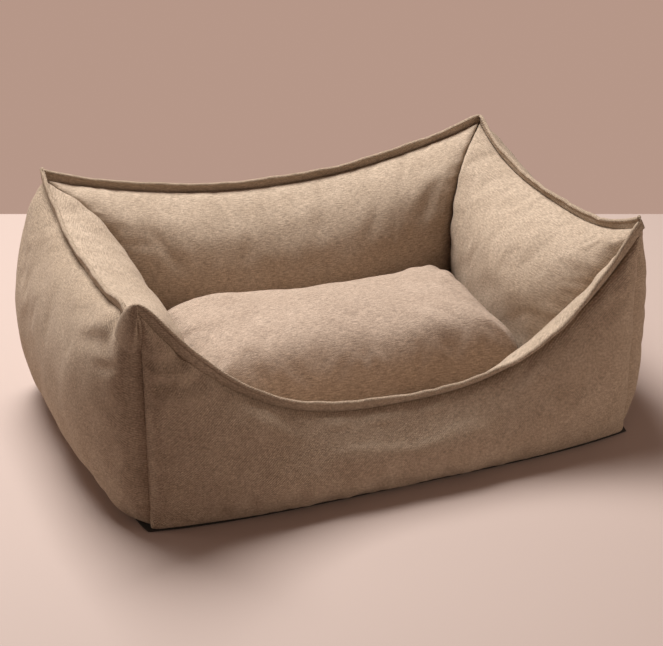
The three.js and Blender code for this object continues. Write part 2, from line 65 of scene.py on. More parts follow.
# ---------------------------------------------------------------- the studio
# A pale table top, a plain taupe surround, one large soft lamp from the upper left and weak fill lamps.
def add_node(tree, kind, settings=(), **inputs):
    node = tree.nodes.new(kind)
    for setting, value in dict(settings).items():
        setattr(node, setting, value)
    for name, value in inputs.items():
        socket = node.inputs[int(name[1:])] if name[1:].isdigit() else node.inputs[name.replace("_", " ")]
        if isinstance(value, bpy.types.NodeSocket):
            tree.links.new(value, socket)
        else:
            socket.default_value = value
    return node


def new_material(name):
    material = bpy.data.materials.new(name)
    material.use_nodes = True
    material.node_tree.nodes.clear()
    return material, material.node_tree


def place_in(tree):
    return add_node(tree, "ShaderNodeTexCoord").outputs["Object"]


def add_waves(tree, direction, scale, distortion):
    return add_node(tree, "ShaderNodeTexWave", {"bands_direction": direction}, Vector=place_in(tree),
                    Scale=scale, Distortion=distortion)


def finish_material(tree, **inputs):
    shader = add_node(tree, "ShaderNodeBsdfPrincipled", **inputs)
    add_node(tree, "ShaderNodeOutputMaterial", Surface=shader.outputs[0])


table_colour = (0.50, 0.395, 0.35, 1)
table_half_width, table_half_depth = 4.0, 0.765
across = Vector((cos(camera_azimuth), sin(camera_azimuth), 0))
away = Vector((-sin(camera_azimuth), cos(camera_azimuth), 0))
table_middle = Vector((camera_target.x, camera_target.y, 0))
table_mesh = bpy.data.meshes.new("table")
table_mesh.from_pydata(
    [table_middle + x * table_half_width * across + y * table_half_depth * away
     for x, y in ((-1, -1), (1, -1), (1, 1), (-1, 1))],
    [], [(0, 1, 2, 3)],
)
table = bpy.data.objects.new("table", table_mesh)
scene.collection.objects.link(table)
table_paint, tree = new_material("table_paint")
finish_material(tree, Base_Color=table_colour, Roughness=0.7)
table_mesh.materials.append(table_paint)

surround = bpy.data.worlds.new("surround")
surround.use_nodes = True
surround.node_tree.nodes.clear()
surround_colour = (0.470, 0.310, 0.248, 1)
surround_glow = 0.35  # the share of it that lights the bed
seen = add_node(surround.node_tree, "ShaderNodeLightPath").outputs["Is Camera Ray"]
glow = add_node(surround.node_tree, "ShaderNodeMath", {"operation": "MAXIMUM"}, _0=seen, _1=surround_glow)
sky = add_node(surround.node_tree, "ShaderNodeBackground", Color=surround_colour, Strength=glow.outputs[0])
add_node(surround.node_tree, "ShaderNodeOutputWorld", Surface=sky.outputs[0])
scene.world = surround


def soft_lamp(name, left, behind, up, size, watts, colour):
    lamp = bpy.data.objects.new(name, bpy.data.lights.new(name, "AREA"))
    lamp.data.size = size
    lamp.data.energy = watts
    lamp.data.color = colour
    lamp.location = table_middle - left * across + behind * away + Vector((0, 0, up))
    lamp.rotation_euler = (lamp.location - table_middle).to_track_quat("Z", "Y").to_euler()
    scene.collection.objects.link(lamp)


soft_lamp("key_lamp", left=0.75, behind=0.86, up=2.7, size=1.6, watts=139, colour=(1, 0.985, 0.965))
soft_lamp("left_lamp", left=2.6, behind=0.1, up=0.35, size=0.9, watts=13, colour=(1, 0.87, 0.76))
soft_lamp("right_lamp", left=-2.4, behind=-1.2, up=0.5, size=1.2, watts=16, colour=(1, 0.86, 0.74))


# ---------------------------------------------------------------- cloths
# The cover is a twill in warm beige melange; the lining and the cushion are a linen-like plain weave of the
# same yarns. Threads follow each panel's own map, which is in metres of cloth.
def graded_colour(tree, value, dark, light, low=0.3, high=0.7):
    """A dark colour where the value is low, which turns into a light one where it is high."""
    ramp = add_node(tree, "ShaderNodeValToRGB", Fac=value)
    for element, position, colour in zip(ramp.color_ramp.elements, (low, high), (dark, light)):
        element.position = position
        element.color = (*colour, 1)
    return ramp.outputs[0]


def graded(tree, value, low, high, dark):
    """A grey that only darkens what it is laid over where the value is low."""
    return graded_colour(tree, value, (dark,) * 3, (1.0,) * 3, low, high)


def melange(tree, light, dark):
    cloud = add_node(tree, "ShaderNodeTexNoise", Vector=place_in(tree), Scale=16, Detail=7, Roughness=0.72)
    speck = add_node(tree, "ShaderNodeTexNoise", Vector=place_in(tree), Scale=380, Detail=3, Roughness=0.75)
    return graded_colour(tree, cloud.outputs[0], dark, light, 0.20, 0.80), speck.outputs[0]


def threads(tree, turn, stretch, scale):
    """Slubs: a noise drawn out along one direction of the cloth, from 0 to 1."""
    cloth_map = add_node(tree, "ShaderNodeUVMap", {"uv_map": "cloth"}).outputs[0]
    drawn = add_node(tree, "ShaderNodeMapping", Vector=cloth_map, Rotation=(0, 0, turn),
                     Scale=(1 / stretch, 1, 1))
    return add_node(tree, "ShaderNodeTexNoise", Vector=drawn.outputs[0], Scale=scale, Detail=3,
                    Roughness=0.6).outputs[0]


def blended(tree, first, second):
    mix = add_node(tree, "ShaderNodeMix", {"data_type": "RGBA", "blend_type": "MULTIPLY"}, _0=1.0)
    tree.links.new(first, mix.inputs[6])
    tree.links.new(second, mix.inputs[7])
    return mix.outputs[2]


slub_stretch = 7  # how many times longer than wide a slub is


def weave_cloth(name, light, dark, rib_pitch, rib_turn, rib_depth, rib_shade, slub_depth, slubs_per_metre,
                slub_shade, speck_shade):
    material, tree = new_material(name)
    colour, speck = melange(tree, light, dark)
    warp = threads(tree, 0, slub_stretch, slubs_per_metre)
    weft = threads(tree, pi / 2, slub_stretch, slubs_per_metre)
    cloth_map = add_node(tree, "ShaderNodeUVMap", {"uv_map": "cloth"}).outputs[0]
    turned = add_node(tree, "ShaderNodeMapping", Vector=cloth_map, Rotation=(0, 0, rib_turn))
    rib = add_node(tree, "ShaderNodeTexWave", {"wave_type": "BANDS", "bands_direction": "X"},
                   Vector=turned.outputs[0], Scale=pi / (10 * rib_pitch), Distortion=1.2, Detail=2,
                   Detail_Scale=1.5)
    for value, low, high, shade in (
        (speck, 0.40, 0.60, speck_shade), (warp, 0.40, 0.56, slub_shade),
        (weft, 0.40, 0.56, slub_shade + 0.05), (rib.outputs["Fac"], 0.0, 1.0, rib_shade),
    ):
        colour = blended(tree, colour, graded(tree, value, low, high, shade))
    slubs = add_node(tree, "ShaderNodeMath", {"operation": "ADD"}, _0=warp, _1=weft)
    grain = add_node(tree, "ShaderNodeMath", {"operation": "ADD"}, _0=slubs.outputs[0], _1=speck)
    soft = add_node(tree, "ShaderNodeBump", Strength=0.55, Distance=slub_depth, Height=grain.outputs[0])
    bump = add_node(tree, "ShaderNodeBump", Strength=0.6, Distance=rib_depth, Height=rib.outputs["Fac"],
                    Normal=soft.outputs[0])
    finish_material(tree, Base_Color=colour, Roughness=0.93, Specular_IOR_Level=0.2, Sheen_Weight=0.10,
                    Sheen_Roughness=0.45, Sheen_Tint=(1.0, 0.93, 0.84, 1), Normal=bump.outputs[0])
    return material


cover_cloth = weave_cloth("cover_twill", (0.66, 0.515, 0.385), (0.50, 0.375, 0.265), rib_pitch=0.0027,
                          rib_turn=radians(48), rib_depth=0.0007, rib_shade=0.80, slub_depth=0.0007,
                          slubs_per_metre=720, slub_shade=0.83, speck_shade=0.62)
lining_cloth = weave_cloth("lining_linen", (0.72, 0.57, 0.435), (0.56, 0.43, 0.315), rib_pitch=0.0022,
                           rib_turn=0.0, rib_depth=0.0003, rib_shade=0.92, slub_depth=0.0008,
                           slubs_per_metre=560, slub_shade=0.76, speck_shade=0.74)

# ---------------------------------------------------------------- wall shapes
# Each wall is a stuffed bolster between two faces that meet in the top seam. s runs from -1 to 1 along the
# wall and v from 0 at its foot to 1 at the seam; half is half its length, reach its distance from the middle.
peak_height = 0.339
half_seam = 0.0018
outer_foot, inner_foot = 0.00255, 0.01605
wall_thickness, wall_swell = 0.097, 0.015
inner_square, front_square, left_corner_square, right_corner_square = 7, 2.1, 4, 1.8
end_wall = {"half": 0.380, "reach": 0.261, "along_x": True, "belly": 0.036, "bow": 0.022, "bow_power": 4,
            "rise": 0.75}
side_wall = {"half": 0.261, "reach": 0.380, "along_x": False, "belly": 0.065, "bow": 0.010, "bow_power": 7.7,
             "rise": 0.5}
walls = {
    "front": {**end_wall, "sign": -1, "dip": 0.128, "dip_power": 2.7},
    "back": {**end_wall, "sign": 1, "dip": 0.276, "dip_power": 2},
    "left": {**side_wall, "sign": -1, "dip": 0.287, "dip_power": 2.6},
    "right": {**side_wall, "sign": 1, "dip": 0.287, "dip_power": 2.8},
}


def place(wall, along, out, z):
    along, out, z = np.broadcast_arrays(along, wall["sign"] * np.asarray(out), z)
    return np.stack((along, out, z) if wall["along_x"] else (out, along, z), axis=-1)


def bump_of(x, middle, width):
    return np.exp(-((np.asarray(x) - middle) / width) ** 2)


def seam_height(name, s):
    wall = walls[name]
    height = wall["dip"] + (peak_height - wall["dip"]) * np.abs(s) ** wall["dip_power"]
    if name == "left":  # the sewn edge sags before it tucks in at the front corner
        height = height - 0.020 * bump_of(s, -0.84, 0.10)
    return height


def fullness(wall, s):
    size = np.abs(s)
    if wall["along_x"]:
        return np.maximum(0, 1 - size ** 3) ** 0.8
    return np.where(s > 0, np.maximum(0, 1 - size ** 5.2) ** 0.43, np.maximum(0, 1 - size ** 3) ** 0.8)


def outer_face(name, s, v):
    wall = walls[name]
    bow = wall["bow"] * (1 - np.abs(s) ** wall["bow_power"]) * (1 - v)
    belly = wall["belly"] * fullness(wall, s) * (4 * v * (1 - v)) ** wall["rise"]
    z = outer_foot + (seam_height(name, s) - outer_foot) * v
    return place(wall, s * (wall["half"] + half_seam), wall["reach"] + half_seam + bow + belly, z)


def inner_face(name, s, v):
    wall = walls[name]
    if name == "front":
        corner_square = np.where(s > 0, right_corner_square, left_corner_square)
        square = front_square + (corner_square - front_square) * s * s
    elif name == "back":
        square = inner_square
    else:
        corner_square = left_corner_square if name == "left" else right_corner_square
        square = inner_square + (corner_square - inner_square) * np.minimum(0, s) ** 2
    turn = 1 - v ** square
    depth = half_seam + (wall_thickness + wall_swell * (1 - s * s)) * turn
    along = s * (wall["half"] - half_seam - wall_thickness * turn)
    z = inner_foot + (seam_height(name, s) - inner_foot) * v
    return place(wall, along, wall["reach"] - depth, z)


def even_rows(face, name, s, low, high, count):
    """Points up one face at even lengths of cloth, and those lengths."""
    dense = np.linspace(low, high, 240)
    line = face(name, s, dense)
    steps = np.linalg.norm(np.diff(line, axis=0), axis=1)
    length = np.concatenate([[0], np.cumsum(steps)])
    wanted = np.linspace(0, length[-1], count)
    return face(name, s, np.interp(wanted, length, dense)), wanted


def face_grid(face, name, columns, spans):
    """A grid of points over one face; spans lists the v where each band of rows ends and its rows."""
    stations = np.sin(np.linspace(-1, 1, columns) * 1.15) / np.sin(1.15)
    grid, heights = [], []
    for s in stations:
        points, heights_here, low, foot = [], [], 0.0, 0.0
        for high, count in spans:
            rows, lengths = even_rows(face, name, s, low, high, count)
            keep = slice(1 if points else 0, None)
            points.append(rows[keep])
            heights_here.append(foot + lengths[keep])
            low, foot = high, foot + lengths[-1]
        grid.append(np.concatenate(points))
        heights.append(np.concatenate(heights_here))
    grid, heights = np.array(grid), np.array(heights)
    axis = 0 if walls[name]["along_x"] else 1
    return grid, np.stack([np.broadcast_to(grid[:, -1:, axis], heights.shape), heights], axis=-1)


def outward(name, inside=False):
    direction = place(walls[name], 0, 1, 0)
    return -direction if inside else direction


def cloth_object(name, grid, cloth_map, facing):
    """A sheet with a grid of points, whose faces point along facing."""
    columns, rows = grid.shape[:2]
    quads = [
        (i * rows + j, (i + 1) * rows + j, (i + 1) * rows + j + 1, i * rows + j + 1)
        for i in range(columns - 1) for j in range(rows - 1)
    ]
    middle = grid[columns // 2:columns // 2 + 2, rows // 2:rows // 2 + 2]
    normal = np.cross(middle[1, 0] - middle[0, 0], middle[0, 1] - middle[0, 0])
    if normal @ np.asarray(facing) < 0:
        quads = [quad[::-1] for quad in quads]
    mesh = bpy.data.meshes.new(name)
    mesh.from_pydata(grid.reshape(-1, 3).tolist(), [], quads)
    layer = mesh.uv_layers.new(name="cloth")
    flat_map = cloth_map.reshape(-1, 2)
    for loop in mesh.loops:
        layer.data[loop.index].uv = flat_map[loop.vertex_index]
    mesh.polygons.foreach_set("use_smooth", [True] * len(mesh.polygons))
    piece = bpy.data.objects.new(name, mesh)
    scene.collection.objects.link(piece)
    return piece


def blurred(grid, passes):
    for _ in range(passes):
        padded = np.pad(grid, ((1, 1), (1, 1), (0, 0)), mode="edge")
        grid = (padded[:-2, 1:-1] + padded[2:, 1:-1] + padded[1:-1, :-2] + padded[1:-1, 2:] + grid) / 5
    return grid


def stuffed(piece, shape, held, spare=0.03, pressure=4.0, swell=0.25, limit=0.0015, stiffness=1.5):
    """Lets the fill press the cloth out between its seams. The cloth is cut too large, so it wrinkles. Returns
    how far each point of the grid moves: a share of the swelling, and all of the wrinkles."""
    columns, rows = shape
    start = np.empty(columns * rows * 3)
    piece.data.vertices.foreach_get("co", start)
    seams = piece.vertex_groups.new(name="seams")
    seams.add(held, 1.0, "REPLACE")
    cloth = piece.modifiers.new("cloth", "CLOTH")
    cloth.settings.quality = 5
    cloth.settings.mass = 0.3
    cloth.settings.tension_stiffness = 15
    cloth.settings.compression_stiffness = 15
    cloth.settings.shear_stiffness = 5
    cloth.settings.bending_stiffness = stiffness
    cloth.settings.vertex_group_mass = "seams"
    cloth.settings.use_pressure = True
    cloth.settings.uniform_pressure_force = pressure
    cloth.settings.shrink_min = -spare
    cloth.settings.effector_weights.gravity = 0
    cloth.collision_settings.use_collision = False
    cloth.point_cache.frame_start, cloth.point_cache.frame_end = 1, 20
    for step in range(1, 21):
        scene.frame_set(step)
    moved = np.empty_like(start)
    piece.evaluated_get(bpy.context.evaluated_depsgraph_get()).data.vertices.foreach_get("co", moved)
    piece.modifiers.remove(cloth)
    piece.vertex_groups.remove(seams)
    scene.frame_set(1)
    shift = (moved - start).reshape(columns, rows, 3)
    low = blurred(shift, 40)
    wrinkles = shift - low
    size = np.linalg.norm(wrinkles, axis=-1, keepdims=True)
    wrinkles = wrinkles * np.tanh(size / limit) * limit / np.maximum(size, 1e-9)
    return swell * low + wrinkles


def border(columns, rows, *extra_rows):
    edge = [i * rows + j for i in range(columns) for j in range(rows)
            if i in (0, columns - 1) or j in (0, rows - 1) or j in extra_rows]
    return edge


def creased(grid, facing, creases):
    """Presses creases into a face: two ends, a half width and a depth each, with a low ridge beside it."""
    facing = np.asarray(facing, float)
    for start, end, width, depth in creases:
        start, end = np.array(start), np.array(end)
        run = end - start
        length = np.linalg.norm(run)
        run = run / length
        beside = np.cross(run, facing)
        beside = beside / np.linalg.norm(beside)
        from_start = grid - start
        along = from_start @ run / length
        off = from_start @ beside / width
        fade = np.clip(np.minimum(along, 1 - along) * 3.0, 0, 1)
        fade = fade * fade * (3 - 2 * fade)
        profile = -np.exp(-off ** 2) + 0.55 * np.exp(-((off - 2.0) / 1.1) ** 2)
        near = np.abs(from_start @ facing) < 0.09
        grid = grid + (depth * fade * profile * near)[..., None] * facing
    return grid


def puckers(distance, along, seed, reach, depth):
    """Small gathers that run square to a seam and die away from it."""
    random = np.random.RandomState(seed)
    wave = np.zeros_like(along)
    for pitch in (0.019, 0.031, 0.047, 0.083):
        wave = wave + np.sin(2 * pi * along / pitch + random.uniform(0, 2 * pi)) / 2.6
    return depth * wave * np.exp(-(distance / reach) ** 2) * (1 - np.exp(-(distance / 0.006) ** 2))


def soft_wave(points, seed, pitch, depth):
    """Slow unevenness of a hand-filled wall."""
    random = np.random.RandomState(seed)
    wave = np.zeros(points.shape[:-1])
    for _ in range(6):
        direction = random.normal(size=3)
        direction = direction / np.linalg.norm(direction)
        wave = wave + np.sin(2 * pi * points @ direction / (pitch * random.uniform(0.7, 1.5))
                             + random.uniform(0, 2 * pi))
    return depth * wave / 2.4


def drawn_in(grid, name, at_corner, depth, reach):
    """Draws the ends of a panel diagonally into the corner seams, where the next wall's panel is sewn on."""
    corner = np.sign(grid[..., :2]) * at_corner
    shift = np.zeros_like(grid)
    axis = 0 if walls[name]["along_x"] else 1
    ends = np.stack([np.abs(grid[..., axis] - edge[..., axis]) for edge in (grid[:1], grid[-1:])])
    shift[..., :2] = corner * (depth * np.exp(-ends.min(axis=0) / reach))[..., None]
    return grid + shift


def pillowed(distances, reach):
    """How far the stuffing lifts a panel, from 0 at its seams to 1, given the distances to them."""
    lift = 1.0
    for distance in distances:
        lift = lift * (1 - np.exp(-np.maximum(distance, 0) / reach))
    return lift


def thickened(piece, thickness, smooth=1):
    solid = piece.modifiers.new("cloth_thickness", "SOLIDIFY")
    solid.thickness = thickness
    solid.offset = -1
    solid.use_even_offset = False
    finer = piece.modifiers.new("finer", "SUBSURF")
    finer.levels = finer.render_levels = smooth


# ---------------------------------------------------------------- outer panels
# Four twill panels, sewn to each other at the corners and pressed out by the fill. The back one is in two
# parts with a zip between them. Their edges turn in at the seams.
panel_columns = {"front": 112, "back": 112, "left": 80, "right": 80}
panel_rows = 46
cloth_thickness = 0.002
zip_seam_height = 0.036
zip_row = (zip_seam_height - outer_foot) / (walls["back"]["dip"] - outer_foot)
band_rows = 7
pillow_reach = 0.011  # how far from a seam the cloth takes to rise
outer_pillow, top_hold, top_hold_reach, outer_sink = 0.0115, 0.85, 0.045, 0.0018
outer_draw, outer_draw_reach = 0.0058, 0.0060
tuck_depth, tuck_height, tuck_length = 0.013, 0.020, 0.030
outer_creases = {
    "front": [
        ((-0.386, -0.27, 0.266), (-0.312, -0.29, 0.250), 0.0078, 0.0095),
        ((-0.380, -0.28, 0.236), (-0.300, -0.30, 0.219), 0.0078, 0.0080),
        ((-0.350, -0.28, 0.285), (-0.285, -0.29, 0.205), 0.0120, 0.0030),
        ((0.372, -0.27, 0.300), (0.318, -0.29, 0.235), 0.0070, 0.0028),
        ((0.374, -0.27, 0.255), (0.300, -0.29, 0.215), 0.0080, 0.0026),
        ((0.100, -0.28, 0.110), (0.150, -0.30, 0.060), 0.0120, 0.0016),
        ((-0.120, -0.28, 0.125), (-0.150, -0.30, 0.060), 0.0130, 0.0014),
    ],
    "back": [
        ((0.350, 0.27, 0.250), (0.270, 0.29, 0.190), 0.0080, 0.0026),
        ((-0.350, 0.27, 0.240), (-0.280, 0.29, 0.185), 0.0080, 0.0026),
        ((0.060, 0.28, 0.255), (0.085, 0.30, 0.190), 0.0110, 0.0018),
    ],
    "left": [
        ((-0.39, -0.235, 0.285), (-0.44, -0.120, 0.245), 0.0110, 0.0038),
        ((-0.39, -0.170, 0.292), (-0.44, -0.060, 0.262), 0.0075, 0.0022),
        ((-0.39, 0.235, 0.290), (-0.43, 0.170, 0.230), 0.0080, 0.0028),
        ((-0.39, -0.254, 0.250), (-0.43, -0.190, 0.235), 0.0060, 0.0030),
    ],
    "right": [
        ((0.39, -0.235, 0.285), (0.44, -0.150, 0.235), 0.0090, 0.0030),
        ((0.39, 0.235, 0.290), (0.43, 0.170, 0.235), 0.0080, 0.0028),
    ],
}
for seed, name in enumerate(walls):
    wall, facing = walls[name], outward(name)
    columns = panel_columns[name]
    spans = [(1.0, panel_rows)]
    if name == "back":
        spans = [(zip_row, band_rows), (1.0, panel_rows + 1 - band_rows)]
    grid, cloth_map = face_grid(outer_face, name, columns, spans)
    panel = cloth_object(f"{name}_outer_panel_cloth", grid, cloth_map, facing)
    sewn = border(columns, panel_rows, *([band_rows - 1] if name == "back" else []))
    grid = grid + stuffed(panel, (columns, panel_rows), sewn)
    axis = 0 if wall["along_x"] else 1
    seam = seam_height(name, np.clip(grid[..., axis] / wall["half"], -1, 1))
    from_seam = seam - grid[..., 2]
    from_corner = wall["half"] - np.abs(grid[..., axis])
    under_seam = np.clip(from_seam / 0.02, 0, 1)
    fade = under_seam * np.clip(grid[..., 2] / 0.03, 0, 1) * np.clip(from_corner / 0.03, 0, 1)
    uneven = soft_wave(grid, 10 + seed, 0.17, 0.0022) + soft_wave(grid, 20 + seed, 0.06, 0.0007)
    lift = uneven * fade + puckers(from_seam, grid[..., axis], 30 + seed, 0.022, 0.0011)
    lift = lift + puckers(from_corner, grid[..., 2], 40 + seed, 0.020, 0.0012) * under_seam
    lift = lift + puckers(grid[..., 2] - outer_foot, grid[..., axis], 50 + seed, 0.016, 0.0008)
    if name == "back":
        lift = lift * np.clip(np.abs(grid[..., 2] - zip_seam_height) / 0.02, 0, 1)
    grid = grid + lift[..., None] * facing
    grid = creased(grid, facing, outer_creases[name])
    from_top = cloth_map[:, -1:, 1] - cloth_map[..., 1]
    low_seam = zip_seam_height if name == "back" else outer_foot
    puffed = pillowed((from_top, from_corner, np.abs(grid[..., 2] - low_seam)), pillow_reach)
    held = 1 - top_hold * pillowed((from_top, from_corner), top_hold_reach)
    lift = outer_pillow * puffed * held - outer_sink
    grid = grid + lift[..., None] * facing
    grid = drawn_in(grid, name, -1, outer_draw * np.clip(from_top / 0.03, 0.05, 1), outer_draw_reach)
    if not wall["along_x"]:  # the foot of each side wall is tucked in at its front corner
        tuck = np.exp(-((grid[..., 2] - outer_foot) / tuck_height) ** 2
                      - ((grid[..., 1] + 0.262) / tuck_length) ** 2)
        grid = grid - (tuck_depth * tuck)[..., None] * facing
    elif name == "front":
        front_grid = grid
    grid[..., 2] = np.maximum(grid[..., 2], outer_foot)
    parts = [(f"{name}_outer_panel", slice(0, None))]
    if name == "back":
        parts = [("back_outer_panel", slice(band_rows - 1, None)), ("back_zip_band", slice(0, band_rows))]
    bpy.data.objects.remove(panel)
    for part, rows in parts:
        panel = cloth_object(f"{part}_cloth", grid[:, rows], cloth_map[:, rows], facing)
        panel.data.materials.append(cover_cloth)
        thickened(panel, cloth_thickness)
        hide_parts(part)
        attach(panel, "bed")

# ---------------------------------------------------------------- inner panels
# Four linen panels that line the sleeping well. They meet in creases at the corners and hang from the top
# seam to the floor lining.
inner_pillow, inner_draw, inner_draw_reach = 0.0062, 0.0065, 0.0075
inner_creases = {
    "front": [],
    "back": [
        ((-0.235, 0.18, 0.268), (-0.195, 0.14, 0.190), 0.0080, 0.0030),
        ((-0.335, 0.20, 0.262), (-0.215, 0.15, 0.232), 0.0060, 0.0022),
        ((-0.300, 0.20, 0.275), (-0.255, 0.16, 0.205), 0.0090, 0.0022),
        ((-0.060, 0.18, 0.262), (-0.085, 0.14, 0.185), 0.0100, 0.0020),
        ((0.060, 0.18, 0.262), (0.040, 0.14, 0.200), 0.0100, 0.0016),
        ((0.170, 0.18, 0.270), (0.120, 0.14, 0.190), 0.0110, 0.0022),
        ((0.275, 0.19, 0.285), (0.215, 0.15, 0.205), 0.0110, 0.0026),
    ],
    "left": [
        ((-0.31, 0.150, 0.275), (-0.27, 0.105, 0.200), 0.0090, 0.0026),
        ((-0.31, -0.020, 0.272), (-0.27, -0.050, 0.190), 0.0100, 0.0020),
    ],
    "right": [
        ((0.31, 0.140, 0.275), (0.27, 0.100, 0.200), 0.0090, 0.0024),
        ((0.31, 0.020, 0.272), (0.27, 0.000, 0.190), 0.0110, 0.0020),
        ((0.31, -0.110, 0.285), (0.27, -0.085, 0.200), 0.0100, 0.0022),
    ],
}
for seed, name in enumerate(walls):
    wall, facing = walls[name], outward(name, inside=True)
    columns = panel_columns[name]
    grid, cloth_map = face_grid(inner_face, name, columns, [(1.0, panel_rows)])
    panel = cloth_object(f"{name}_inner_panel_cloth", grid, cloth_map, facing + np.array([0, 0, 0.3]))
    grid = grid + stuffed(panel, (columns, panel_rows), border(columns, panel_rows), swell=0.15, limit=0.0012)
    axis = 0 if wall["along_x"] else 1
    rows_share = np.linspace(0, 1, panel_rows)[None, :]
    columns_share = np.linspace(0, 1, columns)[:, None]
    edge = np.minimum(np.minimum(rows_share, 1 - rows_share),
                      np.minimum(columns_share, 1 - columns_share) * 2)
    fade = np.clip(edge / 0.10, 0, 1)
    uneven = soft_wave(grid, 60 + seed, 0.15, 0.0016) + soft_wave(grid, 70 + seed, 0.055, 0.0007)
    from_top = cloth_map[:, -1:, 1] - cloth_map[..., 1]
    lift = uneven * fade + puckers(from_top, grid[..., axis], 80 + seed, 0.034, 0.0012)
    grid = grid + lift[..., None] * (facing * 0.8 + np.array([0, 0, 0.6]))
    grid = creased(grid, facing, inner_creases[name])
    ends = (grid[:1, :, axis], grid[-1:, :, axis])
    from_crease = np.minimum(np.abs(grid[..., axis] - ends[0]), np.abs(grid[..., axis] - ends[1]))
    high = np.clip((grid[..., 2] - 0.10) / 0.08, 0, 1)
    lift = high * (inner_pillow * pillowed((from_top, from_crease), pillow_reach))
    grid = grid + lift[..., None] * (facing * 0.8 + np.array([0, 0, 0.6]))
    grid = drawn_in(grid, name, 1, inner_draw * np.clip(from_top / 0.022, 0, 1), inner_draw_reach)
    bpy.data.objects.remove(panel)
    panel = cloth_object(f"{name}_inner_panel_cloth", grid, cloth_map, facing + np.array([0, 0, 0.3]))
    panel.data.materials.append(lining_cloth)
    thickened(panel, cloth_thickness)
    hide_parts(f"{name}_inner_panel")
    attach(panel, "bed")

# ---------------------------------------------------------------- sewn edges
# The seam allowance of both cloths, folded together into a standing edge 16.5 mm wide and stitched through near
# its rounded free edge. It leans a little, and waves where the stitching has drawn it in.
edge_profile = [(-0.0030, 0.0012), (0.0005, 0.0018), (0.0040, 0.0022), (0.0078, 0.0023), (0.0096, 0.0020),
                (0.0104, 0.0016), (0.0112, 0.0022), (0.0124, 0.0031), (0.0139, 0.0033), (0.0153, 0.0026),
                (0.0162, 0.0014)]
edge_width, stitch_height, stitch_half_gap = 0.0165, 0.0104, 0.0018
edge_stations = 300
edge_lean = {
    "front": lambda s: 20 + 30 * bump_of(s, 0.55, 0.42),
    "back": lambda s: -16 + 10 * s ** 8,
    "left": lambda s: 8 - 8 * np.abs(s) ** 6,
    "right": lambda s: -14 + 12 * np.abs(s) ** 6,
}
edge_low_ends = {"front": (0.70, 0.40), "back": (-0.20, 0.40), "left": (0.60, -0.20), "right": (-0.15, 0.40)}
edge_kinks = {"front": [(0.13, 0.022, 0.0022), (0.35, 0.018, 0.0020), (-0.28, 0.03, 0.0008)],
              "back": [(-0.45, 0.03, 0.0010), (0.30, 0.03, 0.0010), (0.74, 0.02, 0.0012)],
              "left": [(-0.42, 0.04, 0.0012), (0.38, 0.03, 0.0010)],
              "right": [(0.30, 0.03, 0.0012), (-0.22, 0.03, 0.0012), (-0.58, 0.025, 0.0016)]}


def edge_frames(name, s):
    """Points along a top seam, with the direction in which its standing edge rises and the one across it."""
    wall = walls[name]
    base = place(wall, s * (wall["half"] + 0.0010), wall["reach"], seam_height(name, s))
    run = np.gradient(base, axis=0)
    run = run / np.linalg.norm(run, axis=1, keepdims=True)
    out = np.broadcast_to(outward(name), base.shape)
    rise = np.cross(out, run)
    rise = rise * np.sign(rise[:, 2:3])
    upright = (np.abs(s) ** 14)[:, None]
    inwards = np.array([-0.45, 0.25, 0]) * ((base[:, 0] > 0) & (base[:, 1] < 0))[:, None]
    rise = rise * (1 - upright) + (np.array([0, 0, 1.0]) + inwards) * upright
    lean = radians(1) * edge_lean[name](s)[:, None] * (1 - upright)
    rise = rise / np.linalg.norm(rise, axis=1, keepdims=True)
    up = rise * np.cos(lean) + out * np.sin(lean)
    side = np.cross(run, up)
    side = side * np.sign(np.sum(side * out, axis=1, keepdims=True))
    side = side / np.linalg.norm(side, axis=1, keepdims=True)
    return base, up, side


def edge_wave(name, s, seed):
    """How far the free edge wanders sideways, and how much it dips."""
    random = np.random.RandomState(seed)
    along = s * walls[name]["half"]
    sideways = sum(np.sin(2 * pi * along / pitch + random.uniform(0, 6.3)) * size
                   for pitch, size in ((0.21, 0.0014), (0.088, 0.0008), (0.041, 0.0004), (0.0093, 0.00028)))
    dips = sum(depth * bump_of(s, middle, width) for middle, width, depth in edge_kinks[name])
    return sideways * (1 - np.abs(s) ** 10), dips


def edge_length(name, s):
    """The share of the full width that the edge stands up: it tucks in under the fold at the front left."""
    low_ends = edge_low_ends[name]
    near_end = np.clip((np.abs(s) - 0.955) / 0.045, 0, 1)
    blunt = 1 - np.where(s > 0, low_ends[1], low_ends[0]) * (1 - np.sqrt(1 - near_end ** 2))
    if name == "left":
        blunt = blunt * (1 - 0.85 * np.clip((-0.86 - s) / 0.05, 0, 1))
    return blunt


